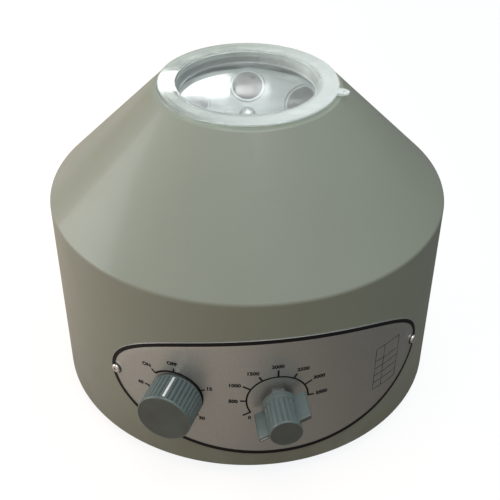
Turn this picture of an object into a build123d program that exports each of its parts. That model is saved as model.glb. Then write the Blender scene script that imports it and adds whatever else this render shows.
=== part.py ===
"""Bench centrifuge: a conical-topped housing, an angle rotor for six tubes, a lift-off lid and two dials.

Millimetres. The origin is the middle of the footprint on the bench, +Z is up and the dials face -Y.
An azimuth is an angle in degrees about +Z, counted from the front towards +X.
"""

import os
from math import cos, degrees, pi, radians, sin, sqrt, tan

from build123d import *

os.makedirs("parts", exist_ok=True)

# Sheet-metal housing
shell_t = 1.5
cone_h = 70.7
neck_r = 59.2
bench_gap = 8.0
base_lip = 14.0
base_round = 3.0
shoulder_round = 6.0
neck_round = 2.0

# Base plate and feet
base_t = 2.0
base_edge_gap = 0.5
base_screw_count = 6
base_screw_start = -60.0
foot_count = 4
foot_start = 45.0
foot_r = 11.0
foot_chamfer = 1.0
foot_screw_in = 4.0
foot_lip_gap = 5.0
vent_count = 8
vent_start = 22.5
vent_in_r = 66.0
vent_len = 18.0
vent_w = 5.0

# Lift-off lid
lid_flange_r = 57.0
lid_flange_t = 1.8
lid_pan_r = 44.6
lid_pan_depth = 8.0
lid_t = 2.0
lid_draft = 1.0
lid_side_gap = 0.8
lid_seat_gap = 0.2
ear_azimuth = 68.0
ear_r = 3.6
ear_reach = 3.4
ear_t = 1.6
ear_hole_r = 0.8
gasket_t = 1.2
gasket_w = 4.0

# Tube sleeves and their rubber cushions
tube_count = 6
tube_tilt = 38.0
sleeve_in_r = 9.9
sleeve_t = 0.8
sleeve_len = 92.0
collar_r = 11.7
collar_t = 1.2
cushion_t = 3.2
cushion_gap = 0.05

# Cast rotor
tube_ring_r = 40.0
rotor_rim_r = 51.0
rotor_flat_r = 24.0
dish_t = 4.0
spot_depth = 0.6
spot_gap = 0.3
boss_r = 13.5
boss_len = 40.0
hub_r = 13.0
hub_len = 26.0
rim_round = 0.8
rotor_rest_turn = -8.1
sleeve_fit = 0.05
rim_below_neck = 12.94

# Rotor fastening on the shaft
shaft_r = 4.0
shaft_fit = 0.05
washer_r = 8.0
washer_t = 1.6
cap_nut_flats = 13.0
cap_nut_hex_h = 6.5
cap_nut_h = 15.0
collar_ring_r = 8.0
collar_ring_h = 8.0
set_screw_r = 1.5
set_screw_len = 4.0
cap_edge = 0.6
cap_round = 5.6
shaft_in_nut = 10.0
shaft_chamfer = 1.0

# Chamber bowl
bowl_t = 1.2
bowl_side_gap = 10.88
bowl_floor_gap = 3.73
bowl_round = 8.0
bowl_hole_r = 20.0
bowl_lip_below_shoulder = 2.0
bowl_lip_edge = 2.5
bowl_lip_round = 2.0
pillar_screw_len = 12.0
pillar_r = 5.0
pillar_gap = 2.3
pillar_shell_gap = 3.0
pillar_azimuth = 60.0

# Motor
motor_r = 39.0
can_t = 2.0
bell_t = 3.0
bell_wall = 2.5
bearing_r = 11.0
bearing_w = 7.0
bearing_boss_t = 3.0
race_t = 2.0
shield_depth = 0.6
commutator_r = 11.0
commutator_w = 10.0
commutator_gap = 2.0
brush_w = 5.5
brush_len = 16.0
brush_gap = 0.05
holder_t = 1.2
winding_end = 6.0
core_h = 26.0
air_gap = 0.5
slot_count = 12
slot_r = 2.2
slot_inset = 3.9
slot_mouth_w = 1.4
winding_in_r = 8.0
winding_round = 2.0
bar_slot_w = 0.6
bar_slot_depth = 2.0
pole_half_angle = 62.0
pole_shoe_t = 3.6
pole_neck_w = 16.0
yoke_t = 6.0
coil_w = 5.6
coil_t = 3.0
coil_gap = 0.3
coil_yoke_gap = 3.7
coil_round = 4.0
fan_side_gap = 4.0
fan_h = 5.0
fan_blades = 12
fan_hub_r = 10.0
fan_plate_t = 1.2
fan_gap = 1.0
bell_neck_r = 12.0
bell_neck_h = 2.0
bell_floor_gap = 3.0
bell_round = 1.5
vent_window_w = 5.0

# Motor plate on rubber dampers
plate_t = 2.5
plate_margin = 2.0
damper_count = 3
damper_start = -90.0
damper_r = 8.0
damper_h = 14.0
damper_waist = 1.6
damper_gap = 1.0
stud_len = 11.0
motor_screw_inset = 11.0

# Shaft boot
boot_t = 1.6
boot_bead = 1.6
boot_clear = 2.0

# Curved control panel
panel_t = 0.8
panel_half_arc = 112.0
panel_half_h = 48.5
panel_above_edge = 60.0
panel_points = 32
panel_screw_arc = 106.75
speed_above_edge = 59.6
timer_above_edge = 57.6
timer_azimuth = -27.35

# Timer and its knob
timer_knob_r = 16.9
timer_knob_h = 20.5
timer_knob_flutes = 36
timer_knob_bead = 1.4
timer_knob_foot = 1.3
timer_line_w = 2.0
timer_line_depth = 0.7
timer_case_w = 44.0
timer_case_h = 46.0
timer_case_depth = 32.0
timer_case_round = 4.0
blade_w = 6.3
blade_t = 0.8
blade_len = 8.0
blade_pitch = 10.0
timer_post_r = 3.5
timer_post_span = 34.0
timer_hole_r = 5.0
timer_shaft_in = 22.0

# Speed control and its knob
speed_knob_r = 10.1
speed_knob_h = 24.0
speed_knob_lift = 4.0
speed_knob_taper = 0.2
speed_knob_flutes = 18
speed_skirt_r = 12.3
speed_skirt_h = 4.0
speed_bar_reach = 17.4
speed_bar_w = 3.0
speed_bar_h = 20.1
speed_bar_angle = 208.0
pot_r = 12.0
pot_depth = 10.0
pot_bush_r = 4.9
pot_bush_out = 3.1
pot_nut_flats = 13.0
pot_nut_t = 2.0
pot_shaft_in = 7.0
tag_w = 2.0
tag_len = 8.0
tag_pitch = 5.0

# Knobs on their shafts
knob_gap = 0.6
knob_recess_h = 3.2
knob_edge_round = 0.9
knob_shaft_r = 3.0
knob_shaft_in_knob = 15.0
shaft_end_gap = 1.0
skirt_draft = 8.0
flute_r = 0.9
flute_depth = 0.45

# Control board
board_azimuth = 62.0
board_inset = 40.5
board_w = 60.0
board_d = 46.0
board_t = 1.6
board_stand = 8.5
board_hole_inset = 4.0
spacer_r = 3.0
sink_x = -5.0
sink_y = 9.0
sink_w = 30.0
sink_h = 25.0
sink_web_t = 2.4
sink_fin = 10.0
sink_fin_count = 6
sink_pitch = 5.5
triac_w = 10.0
triac_t = 4.5
triac_h = 15.0
triac_leg = 4.0
capacitor_x = 19.0
capacitor_y = 6.0
capacitor_w = 9.0
capacitor_d = 18.0
capacitor_h = 16.0
terminal_y = -16.0
terminal_pitch = 6.0
terminal_count = 5
terminal_d = 8.0
terminal_h = 9.0
fuse_x = -25.0
fuse_y = 0.0
fuse_len = 20.0
fuse_r = 2.6
clip_t = 0.8
clip_len = 5.0

# Cord gland
gland_azimuth = 165.0
gland_above_edge = 24.0
gland_flange_r = 9.5
gland_flange_t = 3.0
gland_neck_r = 6.5
gland_nose_len = 5.0
gland_bore_r = 3.6
gland_in_len = 9.0
gland_nut_flats = 17.0
gland_nut_t = 4.0

# Screws and nuts by thread radius
sunk_below = 0.1
m4 = 2.0
m3 = 1.5
m4_nut_flats = 7.0
m4_nut_h = 3.2
contact_gap = 0.3

# Heights, from the bench up
shell_z = bench_gap
base_z = shell_z + shell_t
base_top = base_z + base_t
plate_z = base_top + damper_h
motor_z = plate_z + plate_t
bearing_low_z = motor_z + bell_t
commutator_z = bearing_low_z + bearing_w + commutator_gap
winding_z = commutator_z + commutator_w + commutator_gap
core_z = winding_z + winding_end
core_top = core_z + core_h
fan_z = core_top + winding_end + fan_gap
bearing_high_z = fan_z + fan_h + fan_gap
motor_top = bearing_high_z + bearing_w + bell_t
bowl_z = motor_top + bell_floor_gap
bowl_floor_top = bowl_z + bowl_t
sleeve_r = sleeve_in_r + sleeve_t
sleeve_straight = sleeve_len - sleeve_r
sleeve_down = sleeve_straight + spot_depth
slant_out = sin(radians(tube_tilt))
slant_down = cos(radians(tube_tilt))
dish_slope = tan(radians(tube_tilt))
tube_z = bowl_floor_top + bowl_floor_gap + sleeve_r + sleeve_down * slant_down
flat_z = tube_z - (tube_ring_r - rotor_flat_r) * dish_slope
rim_z = tube_z + (rotor_rim_r - tube_ring_r) * dish_slope
neck_z = rim_z + rim_below_neck
shoulder_z = neck_z - cone_h
speed_z = shell_z + speed_above_edge
timer_z = shell_z + timer_above_edge
panel_z = shell_z + panel_above_edge

# Radii, from the axis out
sleeve_reach = tube_ring_r + sleeve_down * slant_out + sleeve_r
bowl_r = sleeve_reach + bowl_side_gap
bowl_out_r = bowl_r + bowl_t
pillar_ring_r = bowl_out_r + pillar_gap + pillar_r
shell_in_r = pillar_ring_r + pillar_r + pillar_shell_gap
shell_r = shell_in_r + shell_t
panel_r = shell_r + panel_t
base_plate_r = shell_r - base_round - base_edge_gap
base_screw_ring_r = shell_r - base_lip / 2
foot_ring_r = shell_r - base_lip - foot_lip_gap - foot_r
mouth_r = lid_pan_r + lid_t + lid_side_gap + gasket_t
damper_ring_r = motor_r + damper_r + damper_gap
motor_plate_r = damper_ring_r + damper_r + plate_margin
motor_screw_ring_r = motor_r - motor_screw_inset
can_in_r = motor_r - can_t
fan_r = can_in_r - fan_side_gap
yoke_r = can_in_r - yoke_t
shoe_top_r = yoke_r - coil_yoke_gap - coil_t - coil_gap
pole_r = shoe_top_r - pole_shoe_t
armature_r = pole_r - air_gap
slot_ring_r = armature_r - slot_inset
board_ring_r = shell_in_r - board_inset
pillar_x = pillar_ring_r * sin(radians(pillar_azimuth))
pillar_y = pillar_ring_r * cos(radians(pillar_azimuth))
lid_z = neck_z + gasket_t + lid_seat_gap


def outwards(azimuth):
    """The unit vector away from the axis at an azimuth."""
    turn = radians(azimuth)
    return Vector(sin(turn), -cos(turn), 0)


def sideways(azimuth):
    """The unit vector along the wall, towards a growing azimuth."""
    turn = radians(azimuth)
    return Vector(cos(turn), sin(turn), 0)


def wall_plane(azimuth, distance, height):
    """An upright plane that faces outwards at an azimuth, so many millimetres from the axis."""
    origin = outwards(azimuth) * distance + Vector(0, 0, height)
    return Plane(origin=origin, x_dir=sideways(azimuth), z_dir=outwards(azimuth))


def tube_plane(number):
    """The plane square to one tube where its axis meets the rotor's dish, facing out of the mouth."""
    azimuth = rotor_rest_turn + 180 + number * 360 / tube_count
    origin = outwards(azimuth) * tube_ring_r + Vector(0, 0, tube_z)
    mouth = Vector(0, 0, slant_down) - outwards(azimuth) * slant_out
    return Plane(origin=origin, x_dir=sideways(azimuth), z_dir=mouth)


def inside_wall(half_width):
    """How far out a flat piece of this half width can stand inside the shell."""
    return sqrt(shell_in_r**2 - half_width**2) - contact_gap


def pan_screw(thread_r, length):
    """A cross-recessed pan screw along -Z, with the underside of its head at the origin."""
    head_r = thread_r * 2
    head_h = thread_r * 1.3
    recess_w = thread_r * 0.5
    with BuildPart() as screw:
        Cylinder(thread_r, length, align=(Align.CENTER, Align.CENTER, Align.MAX))
        Cylinder(head_r, head_h, align=(Align.CENTER, Align.CENTER, Align.MIN))
        fillet(screw.edges().group_by(Axis.Z)[-1], head_h * 0.6)
        with BuildSketch(Plane.XY.offset(head_h)):
            Rectangle(head_r, recess_w)
            Rectangle(recess_w, head_r)
        extrude(amount=-head_h * 0.6, mode=Mode.SUBTRACT)
    return screw.part


def sunk_screw(thread_r, length):
    """A cross-recessed countersunk screw along -Z, with its flat head's top at the origin."""
    head_r = thread_r * 2
    recess_w = thread_r * 0.5
    with BuildPart() as screw:
        Cylinder(thread_r, length, align=(Align.CENTER, Align.CENTER, Align.MAX))
        with BuildSketch(Plane.XY.offset(-thread_r)):
            Circle(thread_r)
        with BuildSketch(Plane.XY):
            Circle(head_r)
        loft()
        with BuildSketch(Plane.XY):
            Rectangle(head_r, recess_w)
            Rectangle(recess_w, head_r)
        extrude(amount=-thread_r * 0.6, mode=Mode.SUBTRACT)
    return screw.part


def hex_nut(thread_r, flats, height):
    """A plain hexagon nut that stands on the origin."""
    with BuildPart() as nut:
        with BuildSketch():
            RegularPolygon(flats / 2, 6, major_radius=False)
            Circle(thread_r, mode=Mode.SUBTRACT)
        extrude(amount=height)
    return nut.part


# Panel outline, an ellipse on the unrolled wall
panel_outline = []
for step in range(panel_points):
    around = 2 * pi * step / panel_points
    arc = panel_half_arc * cos(around)
    panel_outline.append((panel_r * sin(arc / panel_r), panel_half_h * sin(around)))

panel_screw_azimuth = degrees(panel_screw_arc / panel_r)
timer_front = inside_wall(timer_case_w / 2)
pot_front = inside_wall(pot_r)
gland_nut_front = inside_wall(gland_nut_flats / sqrt(3))
timer_post_z = timer_post_span / 2

# Housing shell: base lip, upright wall, cone and neck ring
with BuildPart() as outer_shell:
    with BuildSketch(Plane.XZ):
        with BuildLine():
            FilletPolyline(
                (shell_r - base_lip, shell_z),
                (shell_r, shell_z),
                (shell_r, shoulder_z),
                (neck_r, neck_z),
                (mouth_r, neck_z),
                radius=[base_round, shoulder_round, neck_round],
            )
            offset(amount=shell_t, side=Side.LEFT)
        make_face()
    revolve(axis=Axis.Z)
    with BuildSketch(Plane.XY.offset(shell_z)):
        with PolarLocations(base_screw_ring_r, base_screw_count, start_angle=base_screw_start):
            Circle(m4)
        with GridLocations(pillar_x * 2, pillar_y * 2, 2, 2):
            Circle(m4)
    extrude(amount=shell_t, mode=Mode.SUBTRACT)
    with BuildSketch(wall_plane(timer_azimuth, shell_r, timer_z)):
        Circle(timer_hole_r)
    extrude(amount=-shell_t * 2, mode=Mode.SUBTRACT)
    with BuildSketch(wall_plane(0, shell_r, speed_z)):
        Circle(pot_bush_r)
    extrude(amount=-shell_t * 2, mode=Mode.SUBTRACT)
    with BuildSketch(wall_plane(gland_azimuth, shell_r, shell_z + gland_above_edge)):
        Circle(gland_neck_r)
    extrude(amount=-shell_t * 2, mode=Mode.SUBTRACT)
    for side in (-1, 1):
        with BuildSketch(wall_plane(side * panel_screw_azimuth, shell_r, panel_z)):
            Circle(m3)
        extrude(amount=-shell_t * 2, mode=Mode.SUBTRACT)
        with Locations(wall_plane(timer_azimuth, shell_r, timer_z + side * timer_post_z)):
            CounterSinkHole(m3, m3 * 2 + sunk_below, depth=shell_t * 2, counter_sink_angle=90)
outer_shell.part.label = "outer_shell"
export_step(outer_shell.part, "parts/outer_shell.step")

# Rubber trim round the mouth, a U over the edge of the sheet
with BuildPart() as mouth_gasket:
    with BuildSketch(Plane.XZ):
        with BuildLine():
            Polyline(
                (mouth_r, neck_z),
                (mouth_r + gasket_w, neck_z),
                (mouth_r + gasket_w, neck_z + gasket_t),
                (mouth_r - gasket_t, neck_z + gasket_t),
                (mouth_r - gasket_t, neck_z - shell_t - gasket_t),
                (mouth_r + gasket_w, neck_z - shell_t - gasket_t),
                (mouth_r + gasket_w, neck_z - shell_t),
                (mouth_r, neck_z - shell_t),
                close=True,
            )
        make_face()
    revolve(axis=Axis.Z)
    fillet(mouth_gasket.edges().group_by(Axis.Z)[-1].sort_by(SortBy.RADIUS)[0], gasket_t * 0.5)
mouth_gasket.part.label = "mouth_gasket"
export_step(mouth_gasket.part, "parts/mouth_gasket.step")

# Clear lid: flange, drafted pan and a small ear with a cord hole
lid_top = lid_z + lid_flange_t
pan_floor_z = lid_top - lid_pan_depth
with BuildPart() as lid:
    with BuildSketch(Plane.XZ):
        with BuildLine():
            Polyline(
                (0, pan_floor_z - lid_t),
                (lid_pan_r + lid_t - lid_draft, pan_floor_z - lid_t),
                (lid_pan_r + lid_t, lid_z),
                (lid_flange_r, lid_z),
                (lid_flange_r, lid_top),
                (lid_pan_r, lid_top),
                (lid_pan_r - lid_draft, pan_floor_z),
                (0, pan_floor_z),
                close=True,
            )
        make_face()
    revolve(axis=Axis.Z)
    fillet(lid.edges().filter_by(GeomType.CIRCLE).group_by(Axis.Z)[0], lid_t * 0.7)
    fillet(lid.edges().filter_by(GeomType.CIRCLE).group_by(Axis.Z)[-1], lid_flange_t * 0.25)
    ear_plane = Plane(
        origin=outwards(ear_azimuth) * lid_flange_r + Vector(0, 0, lid_z),
        x_dir=outwards(ear_azimuth),
        z_dir=(0, 0, 1),
    )
    with BuildSketch(ear_plane):
        SlotCenterToCenter(ear_reach * 2, ear_r * 2)
    extrude(amount=ear_t)
    with BuildSketch(ear_plane):
        with Locations((ear_reach, 0)):
            Circle(ear_hole_r)
    extrude(amount=ear_t, mode=Mode.SUBTRACT)
lid.part.label = "lid"
export_step(lid.part, "parts/lid.step")

# Base plate inside the lip, with slots for the cooling air
board_plane = Plane(
    origin=outwards(board_azimuth) * board_ring_r + Vector(0, 0, base_top),
    x_dir=sideways(board_azimuth),
    z_dir=(0, 0, 1),
)
with BuildPart() as base_plate:
    with BuildSketch(Plane.XY.offset(base_z)):
        Circle(base_plate_r)
        with PolarLocations(base_screw_ring_r, base_screw_count, start_angle=base_screw_start):
            Circle(m4, mode=Mode.SUBTRACT)
        with PolarLocations(foot_ring_r, foot_count, start_angle=foot_start):
            Circle(m4, mode=Mode.SUBTRACT)
        with PolarLocations(damper_ring_r, damper_count, start_angle=damper_start):
            Circle(m4, mode=Mode.SUBTRACT)
        with GridLocations(pillar_x * 2, pillar_y * 2, 2, 2):
            Circle(m4, mode=Mode.SUBTRACT)
        with PolarLocations(vent_in_r + vent_len / 2, vent_count, start_angle=vent_start):
            SlotOverall(vent_len, vent_w, mode=Mode.SUBTRACT)
    extrude(amount=base_t)
    with BuildSketch(board_plane):
        with GridLocations(board_w - board_hole_inset * 2, board_d - board_hole_inset * 2, 2, 2):
            Circle(m3)
    extrude(amount=-base_t, mode=Mode.SUBTRACT)
base_plate.part.label = "base_plate"
export_step(base_plate.part, "parts/base_plate.step")

base_pan_screw = pan_screw(m4, shell_t + base_t + m4_nut_h)
m4_nut = hex_nut(m4, m4_nut_flats, m4_nut_h)
with BuildPart(Plane.XY.offset(shell_z)) as base_screws:
    with PolarLocations(base_screw_ring_r, base_screw_count, start_angle=base_screw_start):
        add(base_pan_screw, rotation=(180, 0, 0))
base_screws.part.label = "base_screws"
export_step(base_screws.part, "parts/base_screws.step")

with BuildPart(Plane.XY.offset(base_top)) as base_nuts:
    with PolarLocations(base_screw_ring_r, base_screw_count, start_angle=base_screw_start):
        add(m4_nut)
base_nuts.part.label = "base_nuts"
export_step(base_nuts.part, "parts/base_nuts.step")

# Rubber feet, each held by a screw from inside
with BuildPart() as rubber_feet:
    with BuildSketch():
        with PolarLocations(foot_ring_r, foot_count, start_angle=foot_start):
            Circle(foot_r)
    extrude(amount=base_z)
    chamfer(rubber_feet.edges().group_by(Axis.Z)[0], foot_chamfer)
    with BuildSketch(Plane.XY.offset(base_z)):
        with PolarLocations(foot_ring_r, foot_count, start_angle=foot_start):
            Circle(m4)
    extrude(amount=-foot_screw_in, mode=Mode.SUBTRACT)
rubber_feet.part.label = "rubber_feet"
export_step(rubber_feet.part, "parts/rubber_feet.step")

foot_pan_screw = pan_screw(m4, base_t + foot_screw_in)
with BuildPart(Plane.XY.offset(base_top)) as foot_screws:
    with PolarLocations(foot_ring_r, foot_count, start_angle=foot_start):
        add(foot_pan_screw)
foot_screws.part.label = "foot_screws"
export_step(foot_screws.part, "parts/foot_screws.step")

# Control panel, a thin ellipse bent to the wall, and its two screws
with BuildPart() as control_panel:
    with BuildSketch(Plane.XZ.offset(panel_r)):
        with BuildLine():
            Spline(*[(x, panel_z + z) for x, z in panel_outline], periodic=True)
        make_face()
    extrude(amount=-panel_r)
    with BuildSketch():
        Circle(panel_r)
        Circle(shell_r, mode=Mode.SUBTRACT)
    extrude(amount=panel_z + panel_half_h * 2, mode=Mode.INTERSECT)
    with BuildSketch(wall_plane(timer_azimuth, panel_r, timer_z)):
        Circle(timer_hole_r)
    extrude(amount=-panel_t * 2, mode=Mode.SUBTRACT)
    with BuildSketch(wall_plane(0, panel_r, speed_z)):
        Circle(pot_bush_r)
    extrude(amount=-panel_t * 2, mode=Mode.SUBTRACT)
    for side in (-1, 1):
        with BuildSketch(wall_plane(side * panel_screw_azimuth, panel_r, panel_z)):
            Circle(m3)
        extrude(amount=-panel_t * 2, mode=Mode.SUBTRACT)
control_panel.part.label = "control_panel"
export_step(control_panel.part, "parts/control_panel.step")

panel_pan_screw = pan_screw(m3, panel_t + shell_t * 2)
panel_screw_planes = [wall_plane(side * panel_screw_azimuth, panel_r, panel_z) for side in (-1, 1)]
with BuildPart() as panel_screws:
    with Locations(*panel_screw_planes):
        add(panel_pan_screw)
panel_screws.part.label = "panel_screws"
export_step(panel_screws.part, "parts/panel_screws.step")

# Clockwork timer behind the wall, held by two countersunk screws under the panel
timer_plane = wall_plane(timer_azimuth, timer_front, timer_z)
timer_post_len = inside_wall(timer_hole_r) - timer_front
with BuildPart() as timer_case:
    with BuildSketch(timer_plane):
        RectangleRounded(timer_case_w, timer_case_h, timer_case_round)
    extrude(amount=-timer_case_depth)
    with BuildSketch(timer_plane):
        with GridLocations(1, timer_post_span, 1, 2):
            Circle(timer_post_r)
        Circle(timer_hole_r - 1)
    extrude(amount=timer_post_len)
    with BuildSketch(timer_plane.offset(timer_post_len)):
        Circle(knob_shaft_r + shaft_fit)
    extrude(amount=-timer_post_len - timer_shaft_in, mode=Mode.SUBTRACT)
    with BuildSketch(timer_plane.offset(timer_post_len)):
        with GridLocations(1, timer_post_span, 1, 2):
            Circle(m3)
    extrude(amount=-timer_post_len - m3 * 4, mode=Mode.SUBTRACT)
    with BuildSketch(timer_plane.offset(-timer_case_depth)):
        with GridLocations(blade_pitch, 1, 3, 1):
            Rectangle(blade_t, blade_w)
    extrude(amount=-blade_len)
timer_case.part.label = "timer_case"
export_step(timer_case.part, "parts/timer_case.step")

timer_sunk_screw = sunk_screw(m3, shell_t + m3 * 4)
timer_screw_planes = [
    wall_plane(timer_azimuth, shell_r - sunk_below, timer_z + side * timer_post_z) for side in (-1, 1)
]
with BuildPart() as timer_screws:
    with Locations(*timer_screw_planes):
        add(timer_sunk_screw)
timer_screws.part.label = "timer_screws"
export_step(timer_screws.part, "parts/timer_screws.step")

# Timer shaft and its fluted knob, with a line down the side that points to OFF
timer_knob_plane = wall_plane(timer_azimuth, panel_r + knob_gap, timer_z)
timer_shaft_back = timer_front - timer_shaft_in + shaft_end_gap
timer_shaft_len = panel_r + knob_gap + knob_shaft_in_knob - timer_shaft_back
with BuildPart(wall_plane(timer_azimuth, timer_shaft_back, timer_z)) as timer_shaft:
    Cylinder(knob_shaft_r, timer_shaft_len, align=(Align.CENTER, Align.CENTER, Align.MIN))
timer_shaft.part.label = "timer_shaft"
export_step(timer_shaft.part, "parts/timer_shaft.step")

with BuildPart(timer_knob_plane) as timer_knob:
    Cylinder(timer_knob_r, timer_knob_h, align=(Align.CENTER, Align.CENTER, Align.MIN))
    front = timer_knob.faces().sort_by(Axis(timer_knob_plane.origin, timer_knob_plane.z_dir))[-1]
    fillet(front.edges(), knob_edge_round)
    with BuildSketch(timer_knob_plane.offset(timer_knob_foot)):
        with PolarLocations(timer_knob_r + flute_r - flute_depth, timer_knob_flutes, start_angle=90):
            Circle(flute_r)
        with Locations((0, timer_knob_r)):
            Rectangle(timer_line_w, timer_line_depth * 2)
    extrude(amount=timer_knob_h - timer_knob_bead - timer_knob_foot, mode=Mode.SUBTRACT)
    with BuildSketch(timer_knob_plane):
        Circle(knob_shaft_r)
    extrude(amount=knob_shaft_in_knob, mode=Mode.SUBTRACT)
timer_knob.part.label = "timer_knob"
export_step(timer_knob.part, "parts/timer_knob.step")

# Speed control: a potentiometer through the wall, its nut, its shaft and a pointer-bar knob
pot_plane = wall_plane(0, pot_front, speed_z)
pot_bush_len = panel_r + pot_bush_out - pot_front
with BuildPart(pot_plane) as potentiometer:
    Cylinder(pot_r, pot_depth, align=(Align.CENTER, Align.CENTER, Align.MAX))
    fillet(potentiometer.edges().filter_by(GeomType.CIRCLE).sort_by(Axis.Y)[-1], knob_edge_round)
    Cylinder(pot_bush_r, pot_bush_len, align=(Align.CENTER, Align.CENTER, Align.MIN))
    with BuildSketch(pot_plane.offset(-pot_depth / 2)):
        with Locations((0, -pot_r - tag_w)):
            with GridLocations(tag_pitch, 1, 3, 1):
                SlotOverall(tag_len, tag_w, rotation=90)
    extrude(amount=blade_t)
    with BuildSketch(pot_plane.offset(pot_bush_len)):
        Circle(knob_shaft_r + shaft_fit)
    extrude(amount=-pot_bush_len - pot_shaft_in, mode=Mode.SUBTRACT)
potentiometer.part.label = "potentiometer"
export_step(potentiometer.part, "parts/potentiometer.step")

with BuildPart(wall_plane(0, panel_r, speed_z)) as potentiometer_nut:
    add(hex_nut(pot_bush_r, pot_nut_flats, pot_nut_t))
potentiometer_nut.part.label = "potentiometer_nut"
export_step(potentiometer_nut.part, "parts/potentiometer_nut.step")

speed_shaft_back = pot_front - pot_shaft_in + shaft_end_gap
speed_shaft_len = panel_r + speed_knob_lift + knob_shaft_in_knob - speed_shaft_back
with BuildPart(wall_plane(0, speed_shaft_back, speed_z)) as speed_shaft:
    Cylinder(knob_shaft_r, speed_shaft_len, align=(Align.CENTER, Align.CENTER, Align.MIN))
speed_shaft.part.label = "speed_shaft"
export_step(speed_shaft.part, "parts/speed_shaft.step")

speed_knob_plane = wall_plane(0, panel_r + speed_knob_lift, speed_z)
speed_face_r = speed_knob_r - speed_knob_taper
with BuildPart() as speed_knob:
    with BuildSketch(speed_knob_plane):
        Circle(speed_knob_r)
        with PolarLocations(speed_knob_r + flute_r - flute_depth, speed_knob_flutes):
            Circle(flute_r, mode=Mode.SUBTRACT)
    with BuildSketch(speed_knob_plane.offset(speed_knob_h)):
        Circle(speed_face_r)
        with PolarLocations(speed_face_r + flute_r - flute_depth, speed_knob_flutes):
            Circle(flute_r, mode=Mode.SUBTRACT)
    loft(ruled=True)
    with BuildSketch(speed_knob_plane):
        Circle(speed_skirt_r)
    extrude(amount=speed_skirt_h, taper=skirt_draft)
    with BuildSketch(speed_knob_plane):
        SlotOverall(speed_bar_reach * 2, speed_bar_w, rotation=speed_bar_angle)
    extrude(amount=speed_bar_h)
    with BuildSketch(speed_knob_plane):
        Circle(pot_nut_flats / sqrt(3) + knob_gap)
    extrude(amount=knob_recess_h, mode=Mode.SUBTRACT)
    with BuildSketch(speed_knob_plane):
        Circle(knob_shaft_r)
    extrude(amount=knob_shaft_in_knob, mode=Mode.SUBTRACT)
speed_knob.part.label = "speed_knob"
export_step(speed_knob.part, "parts/speed_knob.step")

# Cord gland low on the back wall, with its nut inside
gland_z = shell_z + gland_above_edge
gland_plane = wall_plane(gland_azimuth, shell_r, gland_z)
gland_in_z = -gland_in_len
gland_out_z = gland_flange_t + gland_nose_len
with BuildPart(gland_plane) as cord_gland:
    with BuildSketch(Plane(gland_plane.origin, x_dir=gland_plane.x_dir, z_dir=-gland_plane.y_dir)):
        with BuildLine():
            Polyline(
                (gland_bore_r, gland_in_z),
                (gland_neck_r, gland_in_z),
                (gland_neck_r, 0),
                (gland_flange_r, 0),
                (gland_flange_r, gland_flange_t),
                (gland_neck_r, gland_out_z),
                (gland_bore_r, gland_out_z),
                close=True,
            )
        make_face()
    revolve(axis=Axis(gland_plane.origin, gland_plane.z_dir))
cord_gland.part.label = "cord_gland"
export_step(cord_gland.part, "parts/cord_gland.step")

with BuildPart(wall_plane(gland_azimuth, gland_nut_front - gland_nut_t, gland_z)) as gland_nut:
    add(hex_nut(gland_neck_r, gland_nut_flats, gland_nut_t))
gland_nut.part.label = "gland_nut"
export_step(gland_nut.part, "parts/gland_nut.step")

# Motor plate on rubber dampers
with BuildPart() as motor_plate:
    with BuildSketch(Plane.XY.offset(plate_z)):
        Circle(motor_plate_r)
        with PolarLocations(damper_ring_r, damper_count, start_angle=damper_start):
            Circle(m4, mode=Mode.SUBTRACT)
        with PolarLocations(motor_screw_ring_r, damper_count, start_angle=damper_start):
            Circle(m4, mode=Mode.SUBTRACT)
        Circle(bearing_r, mode=Mode.SUBTRACT)
        with PolarLocations(motor_plate_r, damper_count, start_angle=damper_start + 180):
            Circle(motor_plate_r - motor_r - plate_margin, mode=Mode.SUBTRACT)
    extrude(amount=plate_t)
motor_plate.part.label = "motor_plate"
export_step(motor_plate.part, "parts/motor_plate.step")

stud_end = damper_h / 4
with BuildPart(Plane.XY.offset(base_top)) as motor_dampers:
    with BuildSketch(Plane.XY.offset(base_top)):
        with PolarLocations(damper_ring_r, damper_count, start_angle=damper_start):
            Circle(damper_r)
    extrude(amount=damper_h)
    with PolarLocations(damper_ring_r, damper_count, start_angle=damper_start):
        with Locations((0, 0, damper_h / 2)):
            Torus(damper_r + damper_waist, damper_waist * 2, mode=Mode.SUBTRACT)
    with BuildSketch(Plane.XY.offset(base_top)):
        with PolarLocations(damper_ring_r, damper_count, start_angle=damper_start):
            Circle(m4)
    extrude(amount=stud_end, mode=Mode.SUBTRACT)
    with BuildSketch(Plane.XY.offset(plate_z)):
        with PolarLocations(damper_ring_r, damper_count, start_angle=damper_start):
            Circle(m4)
    extrude(amount=-stud_end, mode=Mode.SUBTRACT)
motor_dampers.part.label = "motor_dampers"
export_step(motor_dampers.part, "parts/motor_dampers.step")

with BuildPart() as damper_studs:
    with BuildSketch(Plane.XY.offset(base_top + stud_end)):
        with PolarLocations(damper_ring_r, damper_count, start_angle=damper_start):
            Circle(m4)
    extrude(amount=-stud_len)
    with BuildSketch(Plane.XY.offset(plate_z - stud_end)):
        with PolarLocations(damper_ring_r, damper_count, start_angle=damper_start):
            Circle(m4)
    extrude(amount=stud_len)
damper_studs.part.label = "damper_studs"
export_step(damper_studs.part, "parts/damper_studs.step")

with BuildPart(Plane.XY.offset(base_z - m4_nut_h), Plane.XY.offset(motor_z)) as damper_nuts:
    with PolarLocations(damper_ring_r, damper_count, start_angle=damper_start):
        add(m4_nut)
damper_nuts.part.label = "damper_nuts"
export_step(damper_nuts.part, "parts/damper_nuts.step")

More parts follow.
